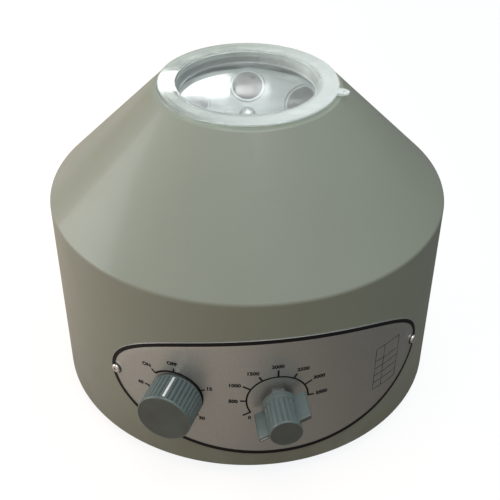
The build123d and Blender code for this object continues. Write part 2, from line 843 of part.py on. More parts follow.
motor_pan_screw = pan_screw(m4, plate_t + bell_t)
with BuildPart(Plane.XY.offset(plate_z)) as motor_screws:
    with PolarLocations(motor_screw_ring_r, damper_count, start_angle=damper_start):
        add(motor_pan_screw, rotation=(180, 0, 0))
motor_screws.part.label = "motor_screws"
export_step(motor_screws.part, "parts/motor_screws.step")

# Motor housing: two end bells and the can between them
bell_low_top = commutator_z + commutator_w - commutator_gap
bell_high_z = fan_z - fan_gap
with BuildPart() as motor_lower_bell:
    with BuildSketch(Plane.XZ):
        with BuildLine():
            Polyline(
                (shaft_r + fan_gap, motor_z),
                (motor_r, motor_z),
                (motor_r, bell_low_top),
                (motor_r - bell_wall, bell_low_top),
                (motor_r - bell_wall, bearing_low_z),
                (bearing_r + bearing_boss_t, bearing_low_z),
                (bearing_r + bearing_boss_t, bearing_low_z + bearing_w),
                (bearing_r, bearing_low_z + bearing_w),
                (bearing_r, bearing_low_z),
                (shaft_r + fan_gap, bearing_low_z),
                close=True,
            )
        make_face()
    revolve(axis=Axis.Z)
    with BuildSketch(Plane.XY.offset(motor_z)):
        with PolarLocations(motor_screw_ring_r, damper_count, start_angle=damper_start):
            Circle(m4)
    extrude(amount=bell_t, mode=Mode.SUBTRACT)
    fillet(motor_lower_bell.edges().group_by(Axis.Z)[0].sort_by(SortBy.RADIUS)[-1], bell_round)
motor_lower_bell.part.label = "motor_lower_bell"
export_step(motor_lower_bell.part, "parts/motor_lower_bell.step")

with BuildPart() as motor_can:
    with BuildSketch(Plane.XY.offset(bell_low_top)):
        Circle(motor_r)
        Circle(can_in_r, mode=Mode.SUBTRACT)
    extrude(amount=bell_high_z - bell_low_top)
motor_can.part.label = "motor_can"
export_step(motor_can.part, "parts/motor_can.step")

with BuildPart() as motor_upper_bell:
    with BuildSketch(Plane.XZ):
        with BuildLine():
            Polyline(
                (shaft_r + fan_gap, motor_top - bell_t),
                (bearing_r, motor_top - bell_t),
                (bearing_r, bearing_high_z),
                (bearing_r + bearing_boss_t, bearing_high_z),
                (bearing_r + bearing_boss_t, motor_top - bell_t),
                (motor_r - bell_wall, motor_top - bell_t),
                (motor_r - bell_wall, bell_high_z),
                (motor_r, bell_high_z),
                (motor_r, motor_top),
                (bell_neck_r, motor_top),
                (bell_neck_r, motor_top + bell_neck_h),
                (shaft_r + fan_gap, motor_top + bell_neck_h),
                close=True,
            )
        make_face()
    revolve(axis=Axis.Z)
    bell_edge = motor_upper_bell.edges().filter_by(Plane.XY).group_by(Axis.Z)[-2].sort_by(SortBy.RADIUS)[-1]
    fillet(bell_edge, bell_round)
    with BuildSketch(Plane.XY.offset(fan_z)):
        with PolarLocations(motor_r, fan_blades):
            Rectangle(bell_wall * 4, vent_window_w)
    extrude(amount=fan_h, mode=Mode.SUBTRACT)
motor_upper_bell.part.label = "motor_upper_bell"
export_step(motor_upper_bell.part, "parts/motor_upper_bell.step")

# Ball bearings, each as one ring with its shields set back
bearing_planes = [Plane.XY.offset(bearing_low_z), Plane.XY.offset(bearing_high_z)]
with BuildPart() as motor_bearings:
    with BuildSketch(*bearing_planes):
        Circle(bearing_r)
        Circle(shaft_r + shaft_fit, mode=Mode.SUBTRACT)
    extrude(amount=bearing_w)
    with BuildSketch(*[plane.offset(bearing_w) for plane in bearing_planes]):
        Circle(bearing_r - race_t)
        Circle(shaft_r + race_t, mode=Mode.SUBTRACT)
    extrude(amount=-shield_depth, mode=Mode.SUBTRACT)
motor_bearings.part.label = "motor_bearings"
export_step(motor_bearings.part, "parts/motor_bearings.step")

# Stator: a yoke with two poles, and a coil round the neck of each pole
tip_gap_x = (shoe_top_r + coil_gap) * tan(radians(90 - pole_half_angle))
with BuildPart() as stator_core:
    with BuildSketch(Plane.XY.offset(core_z)):
        Circle(can_in_r)
        Circle(yoke_r, mode=Mode.SUBTRACT)
        Rectangle(yoke_r * 2, pole_neck_w)
        Circle(shoe_top_r)
        Circle(pole_r, mode=Mode.SUBTRACT)
    extrude(amount=core_h)
    for side in (-1, 1):
        with BuildSketch(Plane.XY.offset(core_z)):
            with BuildLine():
                Polyline(
                    (0, 0),
                    (tip_gap_x, side * (shoe_top_r + coil_gap)),
                    (-tip_gap_x, side * (shoe_top_r + coil_gap)),
                    close=True,
                )
            make_face()
        extrude(amount=core_h, mode=Mode.SUBTRACT)
stator_core.part.label = "stator_core"
export_step(stator_core.part, "parts/stator_core.step")

coil_x = shoe_top_r + coil_gap
core_middle_z = core_z + core_h / 2
coil_window_w = pole_neck_w + coil_gap * 2
coil_window_h = core_h + coil_gap * 2
with BuildPart() as field_coils:
    with BuildSketch(Plane.YZ.offset(coil_x)):
        with Locations((0, core_middle_z)):
            RectangleRounded(coil_window_w + coil_w * 2, coil_window_h + coil_w * 2, coil_round)
            Rectangle(coil_window_w, coil_window_h, mode=Mode.SUBTRACT)
    extrude(amount=coil_t)
    mirror(about=Plane.YZ)
field_coils.part.label = "field_coils"
export_step(field_coils.part, "parts/field_coils.step")

# Carbon brushes in their holders on the lower bell
brush_z = commutator_z + commutator_w / 2
holder_w = brush_w + holder_t * 2
holder_in_r = commutator_r + commutator_gap
holder_out_r = sqrt((motor_r - bell_wall) ** 2 - (holder_w / 2) ** 2)
with BuildPart() as brush_holders:
    with BuildSketch(Plane.YZ.offset(holder_in_r)):
        with Locations((0, brush_z)):
            Rectangle(holder_w, holder_w)
            Rectangle(brush_w + brush_gap * 2, brush_w + brush_gap * 2, mode=Mode.SUBTRACT)
    extrude(amount=holder_out_r - holder_in_r)
    mirror(about=Plane.YZ)
brush_holders.part.label = "brush_holders"
export_step(brush_holders.part, "parts/brush_holders.step")

with BuildPart() as brushes:
    with BuildSketch(Plane.YZ.offset(commutator_r / 2)):
        with Locations((0, brush_z)):
            Rectangle(brush_w, brush_w)
    extrude(amount=commutator_r / 2 + brush_len)
    with Locations((0, 0, brush_z)):
        Cylinder(commutator_r + brush_gap, commutator_w, mode=Mode.SUBTRACT)
    mirror(about=Plane.YZ)
brushes.part.label = "brushes"
export_step(brushes.part, "parts/brushes.step")

# Armature on the motor shaft, which carries on up to the rotor
with BuildPart() as armature_core:
    with BuildSketch(Plane.XY.offset(core_z)):
        Circle(armature_r)
        Circle(shaft_r, mode=Mode.SUBTRACT)
        with PolarLocations(slot_ring_r, slot_count):
            Circle(slot_r, mode=Mode.SUBTRACT)
        with PolarLocations(armature_r, slot_count):
            Rectangle(slot_r * 2, slot_mouth_w, mode=Mode.SUBTRACT)
    extrude(amount=core_h)
armature_core.part.label = "armature_core"
export_step(armature_core.part, "parts/armature_core.step")

with BuildPart() as armature_windings:
    with BuildSketch(Plane.XY.offset(winding_z)):
        Circle(slot_ring_r + slot_r)
        Circle(winding_in_r, mode=Mode.SUBTRACT)
    extrude(amount=core_h + winding_end * 2)
    fillet(armature_windings.edges().filter_by(GeomType.CIRCLE), winding_round)
    with BuildSketch(Plane.XY.offset(core_z)):
        Circle(armature_r)
    extrude(amount=core_h, mode=Mode.SUBTRACT)
    with BuildSketch(Plane.XY.offset(winding_z + winding_round)):
        with PolarLocations(slot_ring_r, slot_count):
            Circle(slot_r - brush_gap)
    extrude(amount=core_h + (winding_end - winding_round) * 2)
armature_windings.part.label = "armature_windings"
export_step(armature_windings.part, "parts/armature_windings.step")

with BuildPart() as commutator:
    with BuildSketch(Plane.XY.offset(commutator_z)):
        Circle(commutator_r)
        Circle(shaft_r, mode=Mode.SUBTRACT)
        with PolarLocations(commutator_r, slot_count, start_angle=180 / slot_count):
            Rectangle(bar_slot_depth * 2, bar_slot_w, mode=Mode.SUBTRACT)
    extrude(amount=commutator_w)
commutator.part.label = "commutator"
export_step(commutator.part, "parts/commutator.step")

with BuildPart() as cooling_fan:
    with BuildSketch(Plane.XY.offset(fan_z)):
        Circle(fan_r)
        Circle(shaft_r, mode=Mode.SUBTRACT)
    extrude(amount=fan_plate_t)
    with BuildSketch(Plane.XY.offset(fan_z)):
        Circle(fan_hub_r)
        Circle(shaft_r, mode=Mode.SUBTRACT)
        with PolarLocations((fan_r + fan_hub_r) / 2 - fan_plate_t, fan_blades):
            Rectangle(fan_r - fan_hub_r, fan_plate_t)
    extrude(amount=fan_h)
cooling_fan.part.label = "cooling_fan"
export_step(cooling_fan.part, "parts/cooling_fan.step")

nut_seat_z = flat_z + washer_t
shaft_foot_z = motor_z + fan_gap
shaft_top_z = nut_seat_z + shaft_in_nut
with BuildPart(Plane.XY.offset(shaft_foot_z)) as motor_shaft:
    Cylinder(shaft_r, shaft_top_z - shaft_foot_z, align=(Align.CENTER, Align.CENTER, Align.MIN))
    chamfer(motor_shaft.edges().group_by(Axis.Z)[-1], shaft_chamfer)
motor_shaft.part.label = "motor_shaft"
export_step(motor_shaft.part, "parts/motor_shaft.step")

# Chamber bowl, its pillars and the boot that seals its floor to the motor
bowl_lip_z = shoulder_z - bowl_lip_below_shoulder
bowl_lip_r = shell_in_r - bowl_lip_edge
with BuildPart() as chamber_bowl:
    with BuildSketch(Plane.XZ):
        with BuildLine():
            FilletPolyline(
                (bowl_hole_r, bowl_floor_top),
                (bowl_r, bowl_floor_top),
                (bowl_r, bowl_lip_z),
                (bowl_lip_r, bowl_lip_z),
                radius=[bowl_round, bowl_lip_round],
            )
            offset(amount=bowl_t, side=Side.RIGHT)
        make_face()
    revolve(axis=Axis.Z)
    with BuildSketch(Plane.XY.offset(bowl_lip_z)):
        with GridLocations(pillar_x * 2, pillar_y * 2, 2, 2):
            Circle(m4)
    extrude(amount=-bowl_t, mode=Mode.SUBTRACT)
chamber_bowl.part.label = "chamber_bowl"
export_step(chamber_bowl.part, "parts/chamber_bowl.step")

pillar_top = bowl_lip_z - bowl_t
with BuildPart() as bowl_pillars:
    with BuildSketch(Plane.XY.offset(base_top)):
        with GridLocations(pillar_x * 2, pillar_y * 2, 2, 2):
            Circle(pillar_r)
    extrude(amount=pillar_top - base_top)
    with BuildSketch(Plane.XY.offset(base_top)):
        with GridLocations(pillar_x * 2, pillar_y * 2, 2, 2):
            Circle(m4)
    extrude(amount=pillar_screw_len, mode=Mode.SUBTRACT)
    with BuildSketch(Plane.XY.offset(pillar_top)):
        with GridLocations(pillar_x * 2, pillar_y * 2, 2, 2):
            Circle(m4)
    extrude(amount=-pillar_screw_len, mode=Mode.SUBTRACT)
bowl_pillars.part.label = "bowl_pillars"
export_step(bowl_pillars.part, "parts/bowl_pillars.step")

pillar_pan_screw = pan_screw(m4, pillar_screw_len)
with BuildPart() as pillar_screws:
    with Locations((0, 0, bowl_lip_z)):
        with GridLocations(pillar_x * 2, pillar_y * 2, 2, 2):
            add(pillar_pan_screw)
    with Locations((0, 0, shell_z)):
        with GridLocations(pillar_x * 2, pillar_y * 2, 2, 2):
            add(pillar_pan_screw, rotation=(180, 0, 0))
pillar_screws.part.label = "pillar_screws"
export_step(pillar_screws.part, "parts/pillar_screws.step")

with BuildPart() as shaft_boot:
    with BuildSketch(Plane.XZ):
        with BuildLine():
            Polyline(
                (bell_neck_r, motor_top),
                (bell_neck_r + boot_t, motor_top),
                (bell_neck_r + boot_t, bowl_z - boot_bead),
                (bowl_hole_r + boot_clear, bowl_z - boot_bead),
                (bowl_hole_r + boot_clear, bowl_z),
                (bowl_hole_r, bowl_z),
                (bowl_hole_r, bowl_floor_top),
                (bowl_hole_r + boot_clear, bowl_floor_top),
                (bowl_hole_r + boot_clear, bowl_floor_top + boot_bead),
                (bowl_hole_r - boot_t, bowl_floor_top + boot_bead),
                (bowl_hole_r - boot_t, bowl_z),
                (bell_neck_r, bowl_z),
                close=True,
            )
        make_face()
    revolve(axis=Axis.Z)
shaft_boot.part.label = "shaft_boot"
export_step(shaft_boot.part, "parts/shaft_boot.step")

# Cast rotor: a funnel-shaped dish on a hub, with a slanting bored boss under each mouth
dish_drop = dish_t / slant_down
flat_under_z = flat_z - dish_t
under_turn_r = rotor_flat_r + (dish_drop - dish_t) / dish_slope
tube_planes = [tube_plane(number) for number in range(tube_count)]
with BuildPart() as angle_rotor:
    with BuildSketch(Plane.XZ):
        with BuildLine():
            Polyline(
                (0, flat_z),
                (rotor_flat_r, flat_z),
                (rotor_rim_r, rim_z),
                (rotor_rim_r, rim_z - dish_drop),
                (under_turn_r, flat_under_z),
                (hub_r, flat_under_z),
                (hub_r, flat_z - hub_len),
                (0, flat_z - hub_len),
                close=True,
            )
        make_face()
    revolve(axis=Axis.Z)
    fillet(angle_rotor.edges().group_by(Axis.Z)[-1], rim_round)
    with BuildSketch(*tube_planes):
        Circle(boss_r)
    extrude(amount=-boss_len)
    with BuildSketch(*[plane.offset(-spot_depth) for plane in tube_planes]):
        Circle(collar_r + spot_gap)
    extrude(amount=dish_t, mode=Mode.SUBTRACT)
    with BuildSketch(*tube_planes):
        Circle(sleeve_r + sleeve_fit)
    extrude(amount=-boss_len, mode=Mode.SUBTRACT)
    with BuildSketch(Plane.XY.offset(flat_z)):
        Circle(shaft_r)
    extrude(amount=-hub_len, mode=Mode.SUBTRACT)
angle_rotor.part.label = "angle_rotor"
export_step(angle_rotor.part, "parts/angle_rotor.step")

# One pressed sleeve along -Z, its collar standing on the origin
with BuildPart() as one_sleeve:
    with BuildSketch(Plane.XZ):
        with BuildLine():
            Polyline(
                (0, -sleeve_straight - sleeve_in_r),
                (0, -sleeve_straight - sleeve_r),
            )
            CenterArc((0, -sleeve_straight), sleeve_r, -90, 90)
            Polyline(
                (sleeve_r, -sleeve_straight),
                (sleeve_r, 0),
                (collar_r, 0),
                (collar_r, collar_t),
                (sleeve_in_r, collar_t),
                (sleeve_in_r, -sleeve_straight),
            )
            CenterArc((0, -sleeve_straight), sleeve_in_r, -90, 90)
        make_face()
    revolve(axis=Axis.Z)

sleeve_planes = [plane.offset(-spot_depth) for plane in tube_planes]
with BuildPart() as tube_sleeves:
    with Locations(*sleeve_planes):
        add(one_sleeve.part)
tube_sleeves.part.label = "tube_sleeves"
export_step(tube_sleeves.part, "parts/tube_sleeves.step")

cushion_r = sleeve_in_r - cushion_gap
with BuildPart() as one_cushion:
    with Locations((0, 0, -sleeve_straight)):
        Sphere(cushion_r)
        Sphere(cushion_r - cushion_t, mode=Mode.SUBTRACT)
        Cylinder(sleeve_r, sleeve_r, align=(Align.CENTER, Align.CENTER, Align.MIN), mode=Mode.SUBTRACT)

with BuildPart() as sleeve_cushions:
    with Locations(*sleeve_planes):
        add(one_cushion.part)
sleeve_cushions.part.label = "sleeve_cushions"
export_step(sleeve_cushions.part, "parts/sleeve_cushions.step")

# Washer and cap nut over the hub, and the driving collar under it
with BuildPart() as rotor_washer:
    with BuildSketch(Plane.XY.offset(flat_z)):
        Circle(washer_r)
        Circle(shaft_r, mode=Mode.SUBTRACT)
    extrude(amount=washer_t)
rotor_washer.part.label = "rotor_washer"
export_step(rotor_washer.part, "parts/rotor_washer.step")

cap_r = cap_nut_flats / 2
with BuildPart() as rotor_nut:
    with BuildSketch(Plane.XY.offset(nut_seat_z)):
        RegularPolygon(cap_r, 6, major_radius=False)
    extrude(amount=cap_nut_hex_h)
    with BuildSketch(Plane.XY.offset(nut_seat_z)):
        Circle(cap_r - cap_edge)
    extrude(amount=cap_nut_h)
    fillet(rotor_nut.edges().group_by(Axis.Z)[-1], cap_round)
    with BuildSketch(Plane.XY.offset(nut_seat_z)):
        Circle(shaft_r)
    extrude(amount=shaft_in_nut + shaft_end_gap, mode=Mode.SUBTRACT)
rotor_nut.part.label = "rotor_nut"
export_step(rotor_nut.part, "parts/rotor_nut.step")

collar_ring_z = flat_z - hub_len - collar_ring_h
set_screw_z = collar_ring_z + collar_ring_h / 2
with BuildPart() as drive_collar:
    with BuildSketch(Plane.XY.offset(collar_ring_z)):
        Circle(collar_ring_r)
        Circle(shaft_r, mode=Mode.SUBTRACT)
    extrude(amount=collar_ring_h)
    with BuildSketch(Plane.XZ):
        with Locations((0, set_screw_z)):
            Circle(set_screw_r)
    extrude(amount=collar_ring_r, mode=Mode.SUBTRACT)
drive_collar.part.label = "drive_collar"
export_step(drive_collar.part, "parts/drive_collar.step")

with BuildPart() as collar_set_screw:
    with BuildSketch(Plane.XZ.offset(shaft_r)):
        with Locations((0, set_screw_z)):
            Circle(set_screw_r)
    extrude(amount=set_screw_len)
    with BuildSketch(Plane.XZ.offset(shaft_r + set_screw_len)):
        with Locations((0, set_screw_z)):
            RegularPolygon(set_screw_r / 2, 6)
    extrude(amount=-set_screw_r, mode=Mode.SUBTRACT)
collar_set_screw.part.label = "collar_set_screw"
export_step(collar_set_screw.part, "parts/collar_set_screw.step")

# Control board on spacers beside the motor
board_z = base_top + board_stand
hole_span_x = board_w - board_hole_inset * 2
hole_span_y = board_d - board_hole_inset * 2
with BuildPart() as board_spacers:
    with BuildSketch(board_plane):
        with GridLocations(hole_span_x, hole_span_y, 2, 2):
            Circle(spacer_r)
            Circle(m3, mode=Mode.SUBTRACT)
    extrude(amount=board_stand)
board_spacers.part.label = "board_spacers"
export_step(board_spacers.part, "parts/board_spacers.step")

with BuildPart() as control_board:
    with BuildSketch(board_plane.offset(board_stand)):
        Rectangle(board_w, board_d)
        with GridLocations(hole_span_x, hole_span_y, 2, 2):
            Circle(m3, mode=Mode.SUBTRACT)
    extrude(amount=board_t)
control_board.part.label = "control_board"
export_step(control_board.part, "parts/control_board.step")

board_pan_screw = pan_screw(m3, board_t + board_stand + base_t)
with BuildPart(board_plane.offset(board_stand + board_t)) as board_screws:
    with GridLocations(hole_span_x, hole_span_y, 2, 2):
        add(board_pan_screw)
board_screws.part.label = "board_screws"
export_step(board_screws.part, "parts/board_screws.step")

parts_plane = board_plane.offset(board_stand + board_t)
with BuildPart() as heat_sink:
    with BuildSketch(parts_plane):
        with Locations((sink_x, sink_y)):
            Rectangle(sink_w, sink_web_t)
            with Locations((0, sink_fin / 2)):
                with GridLocations(sink_pitch, 1, sink_fin_count, 1):
                    Rectangle(sink_web_t / 2, sink_fin)
    extrude(amount=sink_h)
heat_sink.part.label = "heat_sink"
export_step(heat_sink.part, "parts/heat_sink.step")

triac_y = sink_y - sink_web_t / 2 - triac_t / 2
with BuildPart() as triac:
    with BuildSketch(parts_plane.offset(triac_leg)):
        with Locations((sink_x, triac_y)):
            Rectangle(triac_w, triac_t)
    extrude(amount=triac_h)
    with BuildSketch(parts_plane):
        with Locations((sink_x, triac_y)):
            with GridLocations(triac_w / 4, 1, 3, 1):
                Rectangle(blade_t, blade_t)
    extrude(amount=triac_leg)
triac.part.label = "triac"
export_step(triac.part, "parts/triac.step")

with BuildPart() as mains_capacitor:
    with BuildSketch(parts_plane):
        with Locations((capacitor_x, capacitor_y)):
            Rectangle(capacitor_w, capacitor_d)
    extrude(amount=capacitor_h)
    fillet(mains_capacitor.edges().group_by(Axis.Z)[-1], knob_edge_round)
mains_capacitor.part.label = "mains_capacitor"
export_step(mains_capacitor.part, "parts/mains_capacitor.step")

with BuildPart() as terminal_block:
    with BuildSketch(parts_plane):
        with Locations((0, terminal_y)):
            Rectangle(terminal_pitch * terminal_count, terminal_d)
    extrude(amount=terminal_h)
    with BuildSketch(parts_plane.offset(terminal_h)):
        with Locations((0, terminal_y)):
            with GridLocations(terminal_pitch, 1, terminal_count, 1):
                Circle(m3)
    extrude(amount=-terminal_h / 2, mode=Mode.SUBTRACT)
terminal_block.part.label = "terminal_block"
export_step(terminal_block.part, "parts/terminal_block.step")

# Glass fuse across the board, lying in two clips
fuse_z = fuse_r + clip_t
with BuildPart() as fuse_clips:
    with BuildSketch(parts_plane):
        with Locations((fuse_x, fuse_y)):
            with GridLocations(1, fuse_len - clip_len, 1, 2):
                Rectangle((fuse_r + clip_t) * 2, clip_len)
    extrude(amount=fuse_z)
    fuse_plane = Plane(
        origin=parts_plane.from_local_coords((fuse_x, fuse_y - fuse_len / 2, fuse_z)),
        x_dir=parts_plane.x_dir,
        z_dir=parts_plane.y_dir,
    )
    with BuildSketch(fuse_plane):
        Circle(fuse_r)
    extrude(amount=fuse_len, mode=Mode.SUBTRACT)
fuse_clips.part.label = "fuse_clips"
export_step(fuse_clips.part, "parts/fuse_clips.step")

with BuildPart() as fuse:
    with BuildSketch(fuse_plane):
        Circle(fuse_r - clip_t / 2)
    extrude(amount=fuse_len)
    with BuildSketch(fuse_plane, fuse_plane.offset(fuse_len - clip_len)):
        Circle(fuse_r)
    extrude(amount=clip_len)
fuse.part.label = "fuse"
export_step(fuse.part, "parts/fuse.step")
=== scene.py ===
"""A bench centrifuge: a painted cone-topped housing, a clear lid over an angle rotor, and two dials.

Metres. +Z is up and the dials face -Y. An azimuth is an angle about +Z, counted from the front towards +X.
"""

from math import cos, pi, radians, sin, sqrt, tan

import bmesh
import bpy
from bpy.props import FloatProperty, FloatVectorProperty, IntProperty, PointerProperty
from mathutils import Matrix, Vector


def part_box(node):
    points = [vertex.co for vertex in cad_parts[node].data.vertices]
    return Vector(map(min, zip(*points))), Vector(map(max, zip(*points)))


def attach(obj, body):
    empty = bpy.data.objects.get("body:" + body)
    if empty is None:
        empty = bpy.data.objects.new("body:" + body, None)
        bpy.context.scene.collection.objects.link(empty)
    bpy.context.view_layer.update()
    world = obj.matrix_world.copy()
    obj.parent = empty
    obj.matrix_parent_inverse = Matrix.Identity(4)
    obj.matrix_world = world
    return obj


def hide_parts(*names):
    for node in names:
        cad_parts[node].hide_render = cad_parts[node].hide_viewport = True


bl_info = {
    "name": "Bench Centrifuge",
    "version": (1, 0, 0),
    "blender": (4, 5, 0),
    "location": "View3D > Sidebar > Centrifuge",
    "description": "Builds the outside, the rotor and the dials of a bench centrifuge",
    "category": "Object",
}

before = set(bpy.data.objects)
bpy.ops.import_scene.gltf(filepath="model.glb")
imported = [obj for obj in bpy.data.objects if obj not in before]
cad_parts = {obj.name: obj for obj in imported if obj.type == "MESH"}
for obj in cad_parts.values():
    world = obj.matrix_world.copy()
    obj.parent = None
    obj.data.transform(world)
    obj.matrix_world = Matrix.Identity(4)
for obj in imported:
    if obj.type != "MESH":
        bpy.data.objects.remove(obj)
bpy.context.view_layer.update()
shell_low, shell_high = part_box("outer_shell")
trim_low, trim_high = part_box("mouth_gasket")
foot_low, foot_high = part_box("rubber_feet")
lid_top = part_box("lid")[1].z
plate_radius = -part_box("control_panel")[0].y


def length(name, text, default):
    """A size in metres that the sidebar shows as a distance."""
    return FloatProperty(name=name, description=text, default=default, min=0, unit="LENGTH", precision=5)


def angle(name, text, degrees):
    """An angle that the sidebar shows in degrees."""
    return FloatProperty(name=name, description=text, default=radians(degrees), subtype="ANGLE")


def colour(name, text, default):
    """A colour that the sidebar shows as a swatch."""
    return FloatVectorProperty(
        name=name, description=text, default=default, size=3, min=0, max=1, subtype="COLOR"
    )


class CentrifugeHousing(bpy.types.PropertyGroup):
    radius: length("Radius", "Outer radius of the upright wall", shell_high.x)
    bottom: length("Bottom", "Height of the lower edge over the bench", shell_low.z)
    shoulder: length("Shoulder", "Height where the wall turns into the cone", 0.141)
    neck_radius: length("Neck radius", "Radius where the cone meets the flat ring", 0.0592)
    top: length("Top", "Height of the flat ring round the mouth", shell_high.z)
    mouth_radius: length("Mouth radius", "Radius of the opening in the flat ring", 0.0486)
    base_lip: length("Base lip", "Width of the lip turned in at the bottom", 0.014)
    sheet: length("Sheet", "Thickness of the steel sheet", 0.0015)
    gland_azimuth: angle("Gland azimuth", "Where the cord's gland stands", 165)
    gland_height: length("Gland height", "Height of the gland over the lower edge", 0.024)
    paint: colour("Paint", "Grey-green enamel", (0.285, 0.318, 0.262))


class CentrifugeLid(bpy.types.PropertyGroup):
    flange_radius: length("Flange radius", "Outer radius of the flange", 0.057)
    flange: length("Flange", "Thickness of the flange", lid_top - trim_high.z - 0.0002)
    pan_radius: length("Pan radius", "Radius of the sunk pan at its rim", 0.0446)
    pan_depth: length("Pan depth", "Depth of the sunk pan", 0.008)
    wall: length("Wall", "Thickness of the pan", 0.002)
    draft: length("Draft", "How much the pan narrows to its floor", 0.001)
    ear_azimuth: angle("Ear azimuth", "Where the small ear stands", 68)
    ear_radius: length("Ear radius", "Radius of the ear's round end", 0.0036)
    ear_reach: length("Ear reach", "How far the ear's cord hole lies outside the flange", 0.0034)
    ear: length("Ear", "Thickness of the ear", 0.0016)
    tint: colour("Tint", "Tint of the clear plastic", (0.9, 0.96, 0.95))


class CentrifugePanel(bpy.types.PropertyGroup):
    half_arc: length("Half length", "Half the plate's length, along the wall", 0.1111)
    half_height: length("Half height", "Half the plate's height", 0.0481)
    height: length("Height", "Height of the plate's middle over the bench", 0.068)
    sheet: length("Sheet", "Thickness of the plate", 0.0008)
    border: length("Border", "Width of the printed border", 0.0028)
    screw_arc: length("Screw arc", "Distance of each screw from the middle, along the wall", 0.10675)
    silver: colour("Plate", "Silver lacquer of the plate", (0.5, 0.515, 0.505))
    ink: colour("Ink", "Printed lines and numbers", (0.012, 0.012, 0.014))


class CentrifugeTimer(bpy.types.PropertyGroup):
    azimuth: angle("Azimuth", "Where the timer stands on the wall", -27.35)
    level: length("Level", "Height of the timer over the bench", 0.0656)
    hole: length("Hole", "Radius of the shaft's hole in wall and plate", 0.005)
    lift: length("Lift", "Gap between the plate and the knob", 0.0006)
    radius: length("Radius", "Outer radius of the knob", 0.0169)
    height: length("Height", "Height of the knob", 0.0205)
    ribs: IntProperty(name="Ribs", description="Ribs round the knob", default=36, min=3)
    scale_radius: length("Scale radius", "Radius of the printed ring", 0.0176)
    plastic: colour("Plastic", "Grey-green plastic of both knobs", (0.11, 0.148, 0.145))


class CentrifugeSpeed(bpy.types.PropertyGroup):
    level: length("Level", "Height of the dial over the bench", 0.0676)
    lift: length("Lift", "Gap between the plate and the knob", 0.004)
    radius: length("Radius", "Radius of the boss at its foot", 0.0101)
    height: length("Height", "Height of the boss", 0.0240)
    ribs: IntProperty(name="Ribs", description="Ribs round the boss", default=18, min=3)
    bar_reach: length("Bar reach", "How far the pointer bar reaches from the axis", 0.0174)
    bar_height: length("Bar height", "Height of the pointer bar", 0.0201)
    bar_angle: angle("Bar angle", "Where the pointer stands, from the right", 208)
    scale_radius: length("Scale radius", "Radius of the printed ring", 0.0189)


class CentrifugeRotor(bpy.types.PropertyGroup):
    tubes: IntProperty(name="Tubes", description="Tube sleeves round the rotor", default=6, min=2)
    tilt: angle("Tilt", "Slant of the tubes from upright", 38)
    turn: angle("Turn", "Azimuth of the first tube", 171.9)
    ring_radius: length("Ring radius", "Radius of the circle of mouths", 0.040)
    mouth_height: length("Mouth height", "Height of the mouths over the bench", 0.190168)
    sleeve_radius: length("Sleeve radius", "Inner radius of a sleeve", 0.0099)
    sleeve_length: length("Sleeve length", "Length of a sleeve under its rim", 0.092)


class CentrifugeStage(bpy.types.PropertyGroup):
    floor_left: colour("Floor, left", "Colour of the floor on the left", (0.34, 0.24, 0.16))
    floor_right: colour("Floor, right", "Colour of the floor on the right", (0.08, 0.08, 0.075))
    horizon_left: colour("Left side", "Light that comes from the left", (0.52, 0.31, 0.18))
    horizon_right: colour("Right side", "Light that comes from the right", (0.06, 0.064, 0.045))
    ceiling: colour("Ceiling", "Light that comes from above", (0.72, 0.76, 0.78))
    lens: FloatProperty(name="Lens", description="Focal length in millimetres", default=65.46, min=1)


# Places


def outwards(azimuth):
    """The unit vector away from the axis at an azimuth."""
    return Vector((sin(azimuth), -cos(azimuth), 0))


def wall_place(azimuth, distance, height):
    """Places a piece made along +Z so that it faces out of the wall."""
    origin = outwards(azimuth) * distance + Vector((0, 0, height))
    sideways = Vector((cos(azimuth), sin(azimuth), 0))
    turned = Matrix((sideways, Vector((0, 0, 1)), outwards(azimuth))).transposed()
    return Matrix.Translation(origin) @ turned.to_4x4()


def on_panel(vertices, lift=0.0):
    """Bends a flat drawing, x along the wall and y up, round the front of the panel."""
    for vertex in vertices:
        around, up, out = vertex.co
        distance = plate_radius + out + lift
        vertex.co = outwards(around / plate_radius) * distance + Vector((0, 0, up))


# Outlines


def rounded(points, steps):
    """Replaces each corner of a closed outline that names a rounding by an arc."""
    made = []
    for number, point in enumerate(points):
        here = Vector(point[:2])
        rounding = point[2] if len(point) > 2 else 0
        if not rounding:
            made.append(here)
            continue
        back = (Vector(points[number - 1][:2]) - here).normalized()
        ahead = (Vector(points[(number + 1) % len(points)][:2]) - here).normalized()
        half = back.angle(ahead) / 2
        reach = rounding / tan(half)
        centre = here + (back + ahead).normalized() * (rounding / sin(half))
        start = (here + back * reach - centre).normalized()
        end = (here + ahead * reach - centre).normalized()
        for step in range(steps + 1):
            mix = step / steps
            made.append(centre + (start * (1 - mix) + end * mix).normalized() * rounding)
    return made


def sheet_outline(points, thickness):
    """The closed outline of a bent sheet, from the corners of its outer side and its thickness."""
    inner = []
    for number, (radius, height, rounding) in enumerate(points):
        lefts = []
        for other in (number - 1, number):
            if 0 <= other < len(points) - 1:
                run = Vector(points[other + 1][:2]) - Vector(points[other][:2])
                lefts.append(Vector((-run.y, run.x)).normalized())
        middle = sum(lefts, Vector((0, 0))).normalized()
        moved = Vector((radius, height)) + middle * (thickness / middle.dot(lefts[0]))
        inner.append((moved.x, moved.y, max(rounding - thickness, 0)))
    return points + inner[::-1]


def slot_outline(reach, half_width, steps):
    """A flat outline with round ends at both sides of the origin."""
    turns = [pi * (step / steps - 0.5) for step in range(steps + 1)]
    return [
        (side * (reach - half_width + half_width * cos(turn)), side * half_width * sin(turn))
        for side in (1, -1)
        for turn in turns
    ]


def oblong(left, right, low, high):
    """The corners of a flat rectangle."""
    return [(left, low), (right, low), (right, high), (left, high)]


